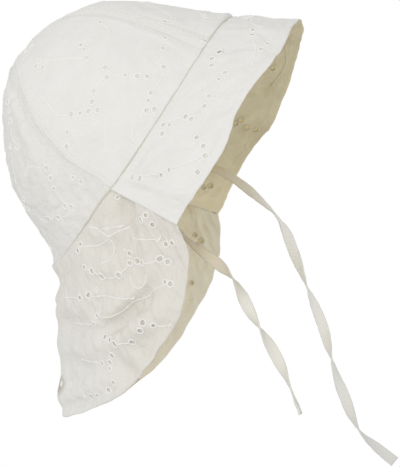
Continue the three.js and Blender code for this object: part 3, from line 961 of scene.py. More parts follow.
class Needlework:
    """Raised thread on one cloth of a panel, gathered into one mesh."""

    def __init__(self, panel, heights, up=1):
        self.panel = panel
        self.heights = heights
        self.up = up
        self.paths = []
        self.eyelets = []

    def add(self, path, profile, width, height, closed=False, taper=None):
        self.paths.append((np.asarray(path, float), profile, width, height, closed, taper))

    def rim(self, centre, radius):
        """Satin stitch round an eyelet."""
        turn = np.linspace(0, math.tau, RIM_POINTS, endpoint=False)
        self.eyelets.append((np.asarray(centre), radius))
        reach = radius + RIM_REACH
        path = self.panel.shift(np.repeat([centre], RIM_POINTS, axis=0),
                                reach * np.cos(turn), reach * np.sin(turn))
        self.add(path, RIM, RIM_WIDTH, RIM_HEIGHT, closed=True)

    def clear(self, points, gap):
        """Which points lie that far from every eyelet."""
        free = np.ones(len(points), bool)
        for centre, radius in self.eyelets:
            free &= np.linalg.norm(points - centre, axis=1) > radius + gap
        return free

    def cord(self, marks, width=CORD_WIDTH, height=CORD_HEIGHT):
        """A fine corded line through marks in the plan, that stops at the rims it meets."""
        line = curve_through(marks, LINE_STEP)
        free = self.clear(line, CORD_GAP)
        cuts = np.flatnonzero(np.diff(free.astype(int))) + 1
        for run in np.split(np.arange(len(line)), cuts):
            if free[run[0]] and len(run) > 3:
                self.add(line[run], ROUND, width, height)

    def vine(self, marks):
        """A corded line with a leaf at its end, where no eyelet is."""
        self.cord(marks)
        line = curve_through(marks, LINE_STEP)
        last_way = line[-1] - line[-3]
        if self.clear(line[-1:], LEAF_GAP)[0]:
            self.leaf(line[-1] + last_way * 1.2, math.atan2(last_way[1], last_way[0]))

    def leaf(self, centre, a):
        """A little bent leaf of satin stitch, lying at an angle in the plan."""
        run = np.linspace(-0.5, 0.5, 11) * LEAF_LENGTH
        bend = LEAF_BEND * np.cos(run / LEAF_LENGTH * math.pi)
        across = run * math.cos(a) - bend * math.sin(a)
        down = run * math.sin(a) + bend * math.cos(a)
        path = self.panel.shift(np.repeat([centre], 11, axis=0), across, down)
        taper = np.sin(np.linspace(0.06, 0.97, 11) * math.pi) ** 0.8
        self.add(path, ROUND, LEAF_WIDTH, LEAF_HEIGHT, taper=taper)

    def stitches(self, marks):
        """A row of sewing stitches along marks in the plan."""
        line = curve_through(marks, 0.5)
        length = np.concatenate([[0], np.cumsum(np.linalg.norm(np.diff(line, axis=0), axis=1))])
        pitch = STITCH_LENGTH + STITCH_GAP
        for number in range(int(length[-1] / pitch)):
            at = number * pitch + np.linspace(0, STITCH_LENGTH, 5)
            path = stack(np.interp(at, length, line[:, 0]), np.interp(at, length, line[:, 1]))
            self.add(path, ROUND, THREAD_WIDTH, THREAD_HEIGHT, taper=np.array([0.45, 0.9, 1, 0.9, 0.45]))

    def finish(self, name, finish):
        """All the paths swept into one piece."""
        plan = np.concatenate([p[0] for p in self.paths])
        top, bottom = self.heights(self.panel, plan)
        lift = top if self.up > 0 else bottom
        places, out = self.panel.lie(plan, lift)
        out = out * self.up
        points, faces, cloth = [], [], []
        start = first = 0
        for path, profile, width, height, closed, taper in self.paths:
            count = len(path)
            here, normal = places[first:first + count], out[first:first + count]
            if closed:
                along = np.roll(here, -1, axis=0) - np.roll(here, 1, axis=0)
            else:
                along = np.gradient(here, axis=0)
            aside = unit(np.cross(normal, unit(along))) * self.panel.facing * self.up
            scale = np.ones(count) if taper is None else taper
            twist = 1 + 0.08 * np.where(np.arange(count) % 2, 1, -1)
            wide = (width * scale)[:, None]
            tall = (height * scale * twist)[:, None]
            ring = [here + aside * w * wide + normal * h * tall for w, h in profile]
            sides = len(profile)
            points.append(np.stack(ring, axis=1).reshape(-1, 3))
            cloth.append(np.repeat(path, sides, axis=0))
            faces += [tuple(i + start for i in face) for face in tube_faces(count, sides, closed)]
            start += count * sides
            first += count
        return make_piece(name, np.concatenate(points), faces, finish,
                          np.concatenate(cloth))


def curve_through(marks, step):
    """An evenly stepped smooth line through marks."""
    marks = np.asarray(marks, float)
    along = np.concatenate([[0], np.cumsum(np.linalg.norm(np.diff(marks, axis=0), axis=1))])
    if len(marks) < 3:
        return np.linspace(marks[0], marks[-1], max(int(along[-1] / step), 2) + 1)
    at = np.linspace(0, along[-1], max(int(along[-1] / step), 2) + 1)
    return stack(smooth(along, marks[:, 0], at), smooth(along, marks[:, 1], at))


def settle_eyelets(panel, sprays, side=1):
    """Eyelets in the plan from sprays of (angle, row, radius), clear of edges and each other."""
    kept = []
    for spray in sprays:
        for angle, row, radius in spray:
            place = panel.plan(side * angle, row)
            nearest = min(float(gap) for gap in panel.edges(place))
            if nearest < radius + EDGE_GAP or row > panel.rows[-1]:
                continue
            here = panel.surface(*panel.place(place))
            if any(np.linalg.norm(here - there) < radius + other + EYELET_GAP
                   for there, (_, other) in kept):
                continue
            kept.append((here, (place, radius)))
    return [eyelet for _, eyelet in kept]


# ---------------------------------------------------------------------------------------
# Crown: five gores of eyelet cloth over a plain lining, all bleached cotton, dull and a
# little warm. The gore seams are pressed open and topstitched, the two back gores are more
# crumpled, and the lower edge is gathered slightly into the head seam.
COTTON = (0.82, 0.81, 0.782, 1)
COTTON_SLUB = (0.77, 0.758, 0.725, 1)
# The back gores' cloth is drawn a shade darker than the rest: painted shade, as they turn away from the
# light.
BACK_COTTON_SHADED = (0.80, 0.79, 0.762, 1)
BACK_SLUB_SHADED = (0.75, 0.738, 0.705, 1)
LINING = (0.79, 0.778, 0.73, 1)
LINING_SLUB = (0.73, 0.715, 0.67, 1)
# The head seam's turned edges are drawn brownish: painted shade in the seam's groove.
SEAM_GROOVE_SHADE = (0.66, 0.63, 0.545, 1)
SEAM_GROOVE_SHADE_SLUB = (0.60, 0.57, 0.485, 1)
THREAD = (0.87, 0.86, 0.83, 1)
THREAD_DULL = (0.83, 0.815, 0.78, 1)
THREAD_PITCH = 0.36
# How deep the crinkles stand, against the weave.
SMOOTH = 12.0
CRUMPLED = 44.0
# How far down the cloth the painted shade by the head seam starts to fade and has gone, and
# how the mottling shifts that and the ends; then where the noise of the painted shade patches
# starts and is full.
NEAR_HEAD_START = 26.0
NEAR_HEAD_END = 84.0
NEAR_HEAD_SHIFT = 30.0
ENDS_SHIFT = 20.0
PATCH_SHADE_FROM = 0.5
PATCH_SHADE_FULL = 0.72


def cotton_finish(name, colour, slub, near_head=None, patch_shade=None, painted_ends=None, crumpled=SMOOTH, mark=None):
    """Plain weave with thicker threads here and there, and fine crinkles. Then, each if given:
    the colour by the head seam and that of soft patches, both painted shade; the colour towards
    a panel's two ends with where it starts and is full, painted shade on the flap and painted
    light inside the brim; and mark, that of one spot with its scale and place."""
    material, shader, start = new_finish(name, 0.9, 0.1)
    cloth = start.node("ShaderNodeAttribute", {"attribute_name": "cloth"}, {}, 1)
    mottle = start.node("ShaderNodeTexNoise", {}, {"Vector": cloth, "Scale": 0.07, "Detail": 4.0})
    warp = start.node("ShaderNodeTexNoise", {}, {
        "Vector": cloth.times((2.4, 0.12, 1.0)), "Scale": 1.0, "Detail": 2.0})
    weft = start.node("ShaderNodeTexNoise", {}, {
        "Vector": cloth.times((0.12, 2.4, 1.0)), "Scale": 1.0, "Detail": 2.0})
    slubs = start.maths("MAXIMUM", warp, weft)
    tone = start.node("ShaderNodeMapRange", {}, {
        "Value": slubs * 0.6 + mottle * 0.5, "From Min": 0.4, "From Max": 0.75})
    plain = tone.between(colour, slub)
    if near_head:
        down = start.node("ShaderNodeSeparateXYZ", {}, {0: cloth}, 1)
        fading = start.node("ShaderNodeMapRange", {}, {
            "Value": down + mottle * NEAR_HEAD_SHIFT, "From Min": NEAR_HEAD_START, "From Max": NEAR_HEAD_END})
        plain = fading.between(near_head, plain)
    if patch_shade:
        patch = start.node("ShaderNodeTexNoise", {}, {"Vector": cloth, "Scale": 0.045, "Detail": 3.0})
        spread = start.node("ShaderNodeMapRange", {}, {
            "Value": patch, "From Min": PATCH_SHADE_FROM, "From Max": PATCH_SHADE_FULL})
        plain = spread.between(plain, patch_shade)
    if painted_ends:
        end_colour, near, far = painted_ends
        along = start.node("ShaderNodeSeparateXYZ", {}, {0: cloth})
        reach = start.maths("ABSOLUTE", along, 0) + mottle * ENDS_SHIFT
        toward_ends = start.node("ShaderNodeMapRange", {}, {"Value": reach, "From Min": near, "From Max": far})
        plain = toward_ends.between(plain, end_colour)
    if mark:
        mark_colour, mark_scale, mark_place = mark
        away = start.node("ShaderNodeVectorMath", {"operation": "DISTANCE"}, {
            0: cloth.times(mark_scale), 1: mark_place}, 1)
        clear = start.node("ShaderNodeMapRange", {}, {
            "Value": away + mottle, "From Min": 1.0, "From Max": 1.9})
        plain = clear.between(mark_colour, plain)
    lead(plain, shader, "Base Color")
    lead(0.82 + slubs * 0.14, shader, "Roughness")
    crinkle = start.node("ShaderNodeTexNoise", {}, {"Vector": cloth, "Scale": 0.26, "Detail": 3.0})
    creases = start.maths("ABSOLUTE", crinkle - 0.5, 0)
    weave = weave_height(start, cloth, THREAD_PITCH, THREAD_PITCH)
    height = weave + slubs * 1.5 + (crinkle + creases) * crumpled
    bump = start.node("ShaderNodeBump", {}, {"Height": height, "Strength": 0.45, "Distance": 0.00005})
    lead(bump, shader, "Normal")
    return material


def thread_finish(name, colour, dull):
    """Mercerised thread: closer and a little brighter than the cloth it lies on."""
    material, shader, start = new_finish(name, 0.6, 0.05)
    cloth = start.node("ShaderNodeAttribute", {"attribute_name": "cloth"}, {}, 1)
    strand = start.node("ShaderNodeTexNoise", {}, {"Vector": cloth, "Scale": 2.2, "Detail": 2.0})
    lead(strand.between(colour, dull), shader, "Base Color")
    lead(0.5 + strand * 0.25, shader, "Roughness")
    bump = start.node("ShaderNodeBump", {}, {"Height": strand, "Strength": 0.6, "Distance": 0.0001})
    lead(bump, shader, "Normal")
    return material


cotton = cotton_finish("eyelet_cotton", COTTON, COTTON_SLUB)
back_cotton_shaded = cotton_finish("back_cotton_shaded", BACK_COTTON_SHADED, BACK_SLUB_SHADED, crumpled=CRUMPLED)
lining_cotton = cotton_finish("lining_cotton", LINING, LINING_SLUB)
seam_groove_shade_cotton = cotton_finish("seam_groove_shade_cotton", SEAM_GROOVE_SHADE, SEAM_GROOVE_SHADE_SLUB)
thread = thread_finish("cotton_thread", THREAD, THREAD_DULL)

# Radii of the eyelets, and sprays of them: the angle, the row and the radius of each.
BIG = 1.45
SMALL = 1.15
LARGE = 1.7
SIDE_GORE_SPRAYS = [
    [(-83, 0.655, SMALL), (-87, 0.65, BIG), (-85.5, 0.615, SMALL)],
    [(-68, 0.505, SMALL), (-71.5, 0.475, BIG), (-66, 0.53, SMALL)],
    [(-72, 0.39, BIG), (-75.5, 0.36, BIG)],
    [(-83, 0.375, BIG), (-87, 0.355, BIG), (-91, 0.345, BIG), (-88.5, 0.315, BIG)],
    [(-96, 0.40, BIG), (-93.5, 0.37, SMALL)],
    [(-103, 0.37, SMALL), (-108, 0.34, BIG)],
    [(-46, 0.245, SMALL), (-52, 0.22, BIG), (-60, 0.155, BIG)],
    [(-67, 0.205, BIG), (-69, 0.25, BIG), (-71, 0.30, SMALL)],
    [(-72, 0.135, SMALL), (-75, 0.12, SMALL), (-78.5, 0.095, BIG), (-76.5, 0.055, BIG)],
    [(-48, 0.52, SMALL)],
    [(-70, 0.78, BIG), (-76, 0.81, SMALL)],
]
BACK_GORE_SPRAYS = [
    [(-124, 0.645, BIG), (-127, 0.61, BIG), (-121.5, 0.68, SMALL)],
    [(-139, 0.55, BIG), (-131, 0.52, BIG)],
    [(-131, 0.43, BIG), (-135.5, 0.425, BIG)],
    [(-122, 0.36, BIG), (-124, 0.32, BIG), (-127, 0.285, SMALL)],
    [(-130, 0.185, BIG), (-128, 0.15, BIG)],
    [(-141, 0.215, BIG), (-137.5, 0.18, BIG)],
    [(-117, 0.24, SMALL), (-116, 0.19, BIG)],
    [(-152, 0.38, BIG), (-156, 0.34, BIG), (-160, 0.36, SMALL)],
    [(-166, 0.58, BIG), (-160, 0.62, BIG)],
    [(-169, 0.17, BIG), (-165, 0.13, BIG), (-171, 0.11, SMALL)],
    [(-150, 0.72, BIG), (-144, 0.76, SMALL)],
    [(-168, 0.42, SMALL), (-171, 0.46, BIG)],
]
FRONT_GORE_SPRAYS = [
    [(-34, 0.30, BIG), (-30, 0.27, SMALL)],
    [(-10, 0.45, BIG), (-6, 0.41, BIG), (-2, 0.43, SMALL)],
    [(12, 0.62, BIG), (18, 0.58, BIG)],
    [(24, 0.35, BIG), (28, 0.31, BIG), (23, 0.28, SMALL)],
    [(6, 0.20, BIG), (2, 0.16, BIG), (10, 0.14, SMALL)],
    [(-18, 0.14, BIG), (-22, 0.11, BIG)],
    [(-16, 0.74, BIG), (-6, 0.77, SMALL)],
    [(30, 0.12, SMALL), (33, 0.16, BIG)],
    [(4, 0.86, SMALL), (-8, 0.60, SMALL)],
]
SIDE_GORE_CORDS = [
    [(-83, 0.655), (-80, 0.60), (-76, 0.55), (-72, 0.475)],
    [(-75.5, 0.36), (-79, 0.38), (-83, 0.375)],
    [(-88.5, 0.315), (-90, 0.26), (-94, 0.22), (-100, 0.16)],
    [(-52, 0.22), (-57, 0.20), (-62, 0.22), (-67, 0.205)],
    [(-60, 0.155), (-66, 0.13), (-72, 0.135)],
    [(-96, 0.40), (-100, 0.44), (-99, 0.50), (-98, 0.56)],
    [(-71, 0.30), (-73, 0.34), (-72, 0.39)],
    [(-103, 0.37), (-101, 0.32), (-97, 0.29), (-93, 0.30)],
    [(-48, 0.52), (-53, 0.47), (-60, 0.45), (-66, 0.46)],
    [(-78.5, 0.095), (-84, 0.12), (-88, 0.10), (-91, 0.05)],
]
BACK_GORE_CORDS = [
    [(-127, 0.61), (-131, 0.58), (-131, 0.52)],
    [(-135.5, 0.425), (-129, 0.42), (-124, 0.38), (-122, 0.36)],
    [(-127, 0.285), (-128, 0.24), (-130, 0.185)],
    [(-137.5, 0.18), (-134, 0.15), (-128, 0.15)],
    [(-139, 0.55), (-145, 0.50), (-150, 0.44), (-152, 0.38)],
    [(-160, 0.36), (-164, 0.40), (-168, 0.42)],
    [(-166, 0.58), (-164, 0.66), (-157, 0.72), (-150, 0.72)],
    [(-141, 0.215), (-147, 0.26), (-154, 0.24), (-160, 0.18), (-165, 0.13)],
]
FRONT_GORE_CORDS = [
    [(-30, 0.27), (-24, 0.32), (-18, 0.38), (-10, 0.45)],
    [(-2, 0.43), (6, 0.48), (10, 0.55), (12, 0.62)],
    [(28, 0.31), (22, 0.40), (20, 0.50), (18, 0.58)],
    [(10, 0.14), (16, 0.18), (20, 0.24), (23, 0.28)],
    [(2, 0.16), (-6, 0.20), (-12, 0.18), (-18, 0.14)],
    [(-8, 0.60), (-12, 0.66), (-16, 0.74)],
]


def front_seam(side):
    """The angle of a front gore seam at each row, on one side."""
    return lambda row: side * level(row, FRONT_SEAM)


def back_seam(side):
    """The same of a seam between side gore and back gore."""
    return lambda row: side * level(row, BACK_SEAM)


def nape(side):
    """The same of the seam down the middle of the back."""
    return lambda row: side * 180.0 + 0 * row


def dress(name, panel, sprays, cords, side, rows, face, back):
    """The outer cloth of a panel with its embroidery: charts on side 1, mirrored on -1."""
    eyelets = settle_eyelets(panel, sprays, side)
    flat, triangles = cut(panel, eyelets)
    top, bottom = outer_heights(panel, flat)
    piece = sew_layer(name + "_cloth", panel, flat, triangles, top, bottom, face, back)
    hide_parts(name)
    work = Needlework(panel, outer_heights)
    for centre, radius in eyelets:
        work.rim(centre, radius)
    for marks in cords:
        line = [panel.plan(side * angle, row) for angle, row in marks]
        if panel.hemmed:
            work.vine(line)
        else:
            work.cord(line, FINE_WIDTH, FINE_HEIGHT)
    rows(panel, work)
    return piece, work.finish(name + "_embroidery", thread)


# Soft places in the crown that the form alone doesn't have: angle, row, lean, length, width
# and height, as the folds of the form are given.
CROWN_CREASES = [
    (180, 0.01, 0, 34, 8, 5.6), (0, 0.28, 0, 30, 11, 2.6), (0, 0.6, 0, 34, 20, -1.4),
    (0, 0.04, 0, 22, 5, -1.0), (-34, 0.30, 72, 40, 1.6, -0.7), (-37, 0.38, 70, 36, 1.8, 0.6),
    (-42, 0.34, 74, 40, 1.5, -0.6), (-46, 0.38, 72, 34, 1.8, 0.5), (-114.5, 0.36, 74, 60, 8, -1.6),
    (-118, 0.42, 60, 26, 3.0, -0.8), (-126, 0.40, 40, 20, 2.6, 0.6), (-133, 0.46, 30, 20, 3.0, -0.7),
    (-140, 0.34, 20, 22, 3.4, 0.7), (-150, 0.20, 15, 24, 3.2, -0.7),
]


def declare_sheet(panel):
    """The area of a panel's cut, worked out over its form and not kept."""
    rows, shares = np.linspace(0, panel.rows[-1], 81), np.linspace(0, 1, 121)
    row, share = np.meshgrid(rows, shares, indexing="ij")
    right = panel.right(row)
    grid = panel.surface(right + (panel.left(row) - right) * share, row)
    across, down = grid[1:, 1:] - grid[1:, :-1], grid[1:, 1:] - grid[:-1, 1:]
    area = np.linalg.norm(np.cross(across, down), axis=2).sum() * MM * MM


# The row at which a gore ends by the crown's top, how far its cloth stands, and how much of
# its top has no topstitching.
GORE_TOP_ROW = 0.996
GORE_DEPTH = 0.75
UNSTITCHED_TOP = 12.0


def gore_rows(panel, work):
    """Topstitching down both sides of a gore."""
    downs = np.arange(2.0, panel.length - UNSTITCHED_TOP, 4.0)
    for side in (-1, 1):
        for inset in (SEAM_STITCH - 0.6, WELT_WIDTH - 0.6):
            work.stitches([(side * (panel.width(d) / 2 - inset), d) for d in downs])


def gore_panel(right, left, seed, slack, welt=0):
    """One gore, from its right seam to its left seam."""
    return Panel(crown, 1, right, left, GORE_TOP_ROW, seed, slack, GORE_DEPTH, CROWN_CREASES, welt)


gores = {
    "crown_front": (gore_panel(front_seam(-1), front_seam(1), 11, 0.5),
                    FRONT_GORE_SPRAYS, FRONT_GORE_CORDS, 1, cotton),
    "crown_side_right": (gore_panel(back_seam(-1), front_seam(-1), 23, 0.45, 1),
                         SIDE_GORE_SPRAYS, SIDE_GORE_CORDS, 1, cotton),
    "crown_side_left": (gore_panel(front_seam(1), back_seam(1), 37, 0.45, -1),
                        SIDE_GORE_SPRAYS, SIDE_GORE_CORDS, -1, cotton),
    "crown_back_right": (gore_panel(nape(-1), back_seam(-1), 41, 0.95),
                         BACK_GORE_SPRAYS, BACK_GORE_CORDS, 1, back_cotton_shaded),
    "crown_back_left": (gore_panel(back_seam(1), nape(1), 53, 0.95),
                        BACK_GORE_SPRAYS, BACK_GORE_CORDS, -1, back_cotton_shaded),
}
for gore_name, (panel, gore_sprays, gore_cords, gore_side, gore_cotton) in gores.items():
    gore_cloth, gore_work = dress(gore_name, panel, gore_sprays, gore_cords, gore_side,
                                  gore_rows, gore_cotton, lining_cotton)
    lining_flat, lining_triangles = cut(panel, [])
    lining_top, lining_bottom = inner_heights(panel, lining_flat)
    lining = sew_layer(gore_name + "_lining", panel, lining_flat, lining_triangles,
                       lining_top, lining_bottom, lining_cotton)
    declare_sheet(panel)
    declare_sheet(panel)

# Edges turned in under a seam: how deep their middle lies and how thick they are.
SEAM_DEPTH = 0.6
SEAM_RADIUS = 0.45
HEAD_SEAM_DEPTH = 0.65
HEAD_SEAM_RADIUS = 0.72
EDGE_SIDES = 8
EDGE_WIDENED = 1.3


def turned_edges(name, surface, facing, angles, rows, depth, radius, finish):
    """The cut edges turned in together under a seam: a soft ridge that closes the groove."""
    count = len(angles)
    out = outward(surface, angles, rows, facing)
    middle = raise_front(surface(angles, rows) - out * np.reshape(depth, (-1, 1))) - SEAT
    out = raise_front(out)
    along = unit(np.gradient(middle, axis=0))
    aside = np.cross(along, out)
    turn = np.linspace(0, math.tau, EDGE_SIDES, endpoint=False)
    ring = [middle + (out * math.sin(a) + aside * EDGE_WIDENED * math.cos(a)) * radius for a in turn]
    points = np.stack(ring, axis=1).reshape(-1, 3)
    run = np.cumsum(np.concatenate([[0], np.linalg.norm(np.diff(middle, axis=0), axis=1)]))
    cloth = np.stack([np.tile(turn, count), np.repeat(run, EDGE_SIDES)], axis=1)
    make_piece(name, points, tube_faces(count, EDGE_SIDES), finish, cloth)


seam_rows = np.linspace(0.0, 0.992, 150)
for seam_name, seam_angles in {
    "front_right": -level(seam_rows, FRONT_SEAM), "front_left": level(seam_rows, FRONT_SEAM),
    "back_right": -level(seam_rows, BACK_SEAM), "back_left": level(seam_rows, BACK_SEAM),
    "nape": 0 * seam_rows + 180,
}.items():
    turned_edges("seam_" + seam_name, crown, 1, seam_angles, seam_rows, SEAM_DEPTH, SEAM_RADIUS, cotton)
# The head seam lies deeper over the forehead; its brownish turned edges are painted shade in the groove.
round_angles = np.linspace(-180, 180, 361)
sunk = HEAD_SEAM_DEPTH + 1.9 * np.exp(-((round_angles / 20) ** 2))
turned_edges("seam_head", crown, 1, round_angles, 0 * round_angles + 0.004,
             sunk, HEAD_SEAM_RADIUS, seam_groove_shade_cotton)

# ---------------------------------------------------------------------------------------
# Brim: a deep band round the face, two eyelet cloths sewn at the hem, turned out and
# stitched again 5.5 mm in, so that the edge stands soft and slightly wavy. The cloth
# towards the face is drawn warm beige with darker patches, painted shade inside the hat,
# and lighter at the brim's two ends, painted light.
# The inner cloth's warm beige and its darker soft patches are painted shade inside the hat.
INNER_WARM_SHADE = (0.79, 0.715, 0.515, 1)
INNER_SLUB_WARM_SHADE = (0.71, 0.64, 0.445, 1)
INNER_PATCH_SHADE = (0.64, 0.555, 0.36, 1)
# Lighter towards the brim's two ends: painted light, on a part that the near brim shades.
INNER_END_LIGHT = (0.92, 0.835, 0.60, 1)
INNER_END_LIGHT_FROM = 148.0
INNER_END_LIGHT_FULL = 182.0
# The thread under the brim is drawn in the same warm beige: painted shade inside the hat.
INNER_THREAD_WARM_SHADE = (0.80, 0.745, 0.58, 1)
INNER_THREAD_DULL_WARM_SHADE = (0.64, 0.575, 0.41, 1)
# The two faces between the cloths, that show only through the eyelets: of the inner cloth
# from outside, drawn darker as painted shade, and of the outer cloth from inside, drawn a
# strong warm yellow as painted light between the cloths.
SHADED = (0.755, 0.745, 0.705, 1)
SHADED_SLUB = (0.70, 0.685, 0.64, 1)
HOLLOW_WARM_LIGHT = (0.92, 0.77, 0.425, 1)
HOLLOW_WARM_LIGHT_SLUB = (0.87, 0.715, 0.375, 1)

inner_cotton_warm_shade = cotton_finish("inner_cotton_warm_shade", INNER_WARM_SHADE, INNER_SLUB_WARM_SHADE, patch_shade=INNER_PATCH_SHADE,
                             painted_ends=(INNER_END_LIGHT, INNER_END_LIGHT_FROM, INNER_END_LIGHT_FULL))
shaded_cotton = cotton_finish("shaded_cotton", SHADED, SHADED_SLUB)
hollow_warm_light_cotton = cotton_finish("hollow_warm_light_cotton", HOLLOW_WARM_LIGHT, HOLLOW_WARM_LIGHT_SLUB)
inner_thread_warm_shade = thread_finish("inner_thread_warm_shade", INNER_THREAD_WARM_SHADE, INNER_THREAD_DULL_WARM_SHADE)

BRIM_SPRAYS = [
    [(-45, 0.26, LARGE), (-49, 0.22, BIG), (-52, 0.27, BIG)],
    [(-54, 0.52, BIG), (-57, 0.49, SMALL)],
    [(-64, 0.49, BIG), (-68, 0.51, BIG)],
    [(-74, 0.34, BIG), (-74, 0.43, BIG)],
    [(-80, 0.13, BIG), (-83, 0.19, BIG), (-79, 0.21, SMALL)],
    [(-79, 0.65, BIG), (-80.5, 0.77, BIG), (-83, 0.85, BIG)],
    [(-89, 0.88, BIG)],
    [(-102, 0.17, LARGE), (-101, 0.29, LARGE)],
    [(-26.5, 0.6, BIG), (-32.5, 0.56, BIG), (-29.5, 0.53, SMALL)],
    [(-96, 0.52, SMALL), (-93, 0.58, SMALL)],
    [(-14, 0.26, BIG), (-10, 0.32, BIG), (-16.5, 0.33, SMALL)],
    [(-5, 0.65, BIG), (-4.5, 0.72, BIG)],
    [(-35.5, 0.8, SMALL), (-39.5, 0.77, BIG)],
]
BRIM_CORDS = [
    [(-80, 0.13), (-77, 0.2), (-74, 0.33)],
    [(-35.5, 0.6), (-39.5, 0.69), (-46.5, 0.77)],
    [(-54, 0.52), (-58, 0.59), (-64, 0.59), (-64, 0.49)],
    [(-83, 0.85), (-87, 0.74), (-93, 0.58)],
    [(-52, 0.27), (-58, 0.32), (-63, 0.39), (-64, 0.49)],
    [(-16.5, 0.33), (-21.5, 0.43), (-26.5, 0.6)],
    [(-10, 0.32), (-4.5, 0.43), (-5, 0.65)],
    [(-101, 0.29), (-98, 0.39), (-96, 0.52)],
]
BRIM_UNDER_SPRAYS = [
    [(69, 0.60, BIG), (71, 0.56, BIG), (71, 0.74, BIG), (70.5, 0.86, BIG)],
    [(40, 0.68, BIG), (45, 0.72, BIG)],
    [(98, 0.73, BIG), (100, 0.66, SMALL)],
    [(56, 0.34, BIG), (60, 0.30, BIG)],
    [(88, 0.40, BIG), (84, 0.36, BIG), (86, 0.30, SMALL)],
    [(20, 0.42, BIG), (24, 0.50, BIG)],
    [(6, 0.72, BIG), (10, 0.66, BIG)],
]
BRIM_UNDER_CORDS = [
    [(30, 0.76), (35, 0.82), (40, 0.87), (46, 0.85), (51, 0.80)],
    [(33, 0.62), (38, 0.70), (43, 0.74)],
    [(-30, 0.76), (-36, 0.84), (-43, 0.86)],
]
BRIM_CREASES = [
    (0, 0.05, 0, 26, 6, -1.2), (0, 0.75, 0, 24, 12, -1.8), (-104.5, 0.36, 82, 15, 2.2, -1.0),
    (-102.5, 0.42, 78, 14, 2.2, 0.9), (-106, 0.52, 70, 9, 1.8, -0.6), (-100, 0.75, -20, 18, 6, 1.4),
    (-60, 0.7, 60, 16, 4, -1.0), (-86, 0.5, 30, 22, 5, 0.9), (-70, 0.9, 20, 10, 4, 1.2),
    (-40, 0.9, 10, 9, 4, -1.0), (-105, 0.30, 70, 16, 4, -1.4), (-98, 0.08, 0, 10, 4, -0.8),
    (-28, 0.7, 60, 18, 4, 0.9), (-16, 0.5, 75, 20, 5, -0.8), (36, 0.7, 70, 18, 5, 1.0),
    (58, 0.6, 60, 18, 5, -1.2), (84, 0.6, 80, 18, 5, 1.0), (100, 0.4, 70, 16, 4, -1.2),
]
# How much further round and down the mirrored sprays and cords lie, and the last row they take.
BRIM_SHIFT = (-3, 0.04)
UNDER_SHIFT = (2, 0.03)
CORD_SHIFT = (3, 0.04)
LAST_ROW = 0.97
# Rows of stitches, in degrees: how far from a panel's ends, and the steps at hem and seam.
ROW_ENDS = 1.5
HEM_STEP = 1.6
SEAM_STEP = 3.0

brim_panel = Panel(skirt, -1, lambda row: -BRIM_END + 0 * row, lambda row: BRIM_END + 0 * row,
                   1.0, 61, 0.9, 0.8, BRIM_CREASES, side_lift=0.7)


def both_sides(charts, shift):
    """Sprays or cords on one side, and again on the other a little further round and down."""
    round_by, down_by = shift
    mirrored = [[(round_by - angle, min(row + down_by, LAST_ROW), *radius) for angle, row, *radius in chart]
                for chart in charts]
    return charts + mirrored


def skirt_rows(panel, work):
    """Stitches round the hem, and along the head seam where its edges are held down."""
    first, last = panel.right(0) + ROW_ENDS, panel.left(0) - ROW_ENDS
    round_hem = np.arange(first, last, HEM_STEP)
    round_seam = np.arange(first, last, SEAM_STEP)
    work.stitches([panel.plan(a, 1 - HEM_STITCH / panel.fall(a)) for a in round_hem])
    work.stitches([panel.plan(a, SEAM_STITCH / panel.fall(a)) for a in round_seam])


brim_cloth, brim_work = dress(
    "brim", brim_panel, both_sides(BRIM_SPRAYS, BRIM_SHIFT),
    both_sides(BRIM_CORDS, CORD_SHIFT), 1, skirt_rows, cotton, hollow_warm_light_cotton)


def dress_under(name, panel, sprays, upper, finish, cords=()):
    """The cloth under a panel, with its own eyelets and their rims."""
    eyelets = settle_eyelets(panel, sprays)
    flat, triangles = cut(panel, eyelets)
    top, bottom = inner_heights(panel, flat)
    piece = sew_layer(name + "_underside", panel, flat, triangles, top, bottom, upper, finish)
    work = Needlework(panel, inner_heights, up=-1)
    for centre, radius in eyelets:
        work.rim(centre, radius)
    for marks in cords:
        work.vine([panel.plan(angle, row) for angle, row in marks])
    return piece, work.finish(name + "_underside_stitching", inner_thread_warm_shade)


# One eyelet lies right under another, so the dark inside shows through both.
BRIM_THROUGH = [[(-45, 0.26, LARGE)]]
brim_under, brim_under_work = dress_under(
    "brim", brim_panel, both_sides(BRIM_UNDER_SPRAYS, UNDER_SHIFT) + BRIM_THROUGH,
    shaded_cotton, inner_cotton_warm_shade, BRIM_UNDER_CORDS)
declare_sheet(brim_panel)
declare_sheet(brim_panel)

# ---------------------------------------------------------------------------------------
# Neck flap: one long piece of the same two cloths from the brim's ends round the nape, cut
# deep at the back. It hangs in soft folds, is hemmed like the brim, and has a small brown mark
# near its tip. Its outer cloth is drawn a little darker than the crown's, and darker again by
# the head seam and towards its ends: all painted shade.
# The flap's outer cloth is drawn a little darker than the crown's, and darker again by the head seam and
# towards its ends: painted shade.
FLAP_COTTON_SHADED = (0.81, 0.80, 0.772, 1)
FLAP_SLUB_SHADED = (0.755, 0.74, 0.705, 1)
FLAP_SEAM_SHADE = (0.75, 0.732, 0.68, 1)
FLAP_END_SHADE = (0.75, 0.722, 0.66, 1)
FLAP_END_SHADE_FROM = 40.0
FLAP_END_SHADE_FULL = 105.0
# The face between the flap's cloths, seen only through the eyelets, is drawn darker: painted shade.
FLAP_SHADED = (0.69, 0.67, 0.61, 1)
FLAP_SHADED_SLUB = (0.64, 0.62, 0.555, 1)
# The flap's inner cloth is drawn a bright warm cream as painted light through the cloth, and darker by the
# head seam and in soft patches as painted shade.
FLAP_INNER_WARM_LIGHT = (0.94, 0.895, 0.755, 1)
FLAP_INNER_SLUB_WARM_LIGHT = (0.88, 0.83, 0.69, 1)
FLAP_INNER_SEAM_SHADE = (0.90, 0.80, 0.55, 1)
FLAP_INNER_PATCH_SHADE = (0.83, 0.755, 0.56, 1)
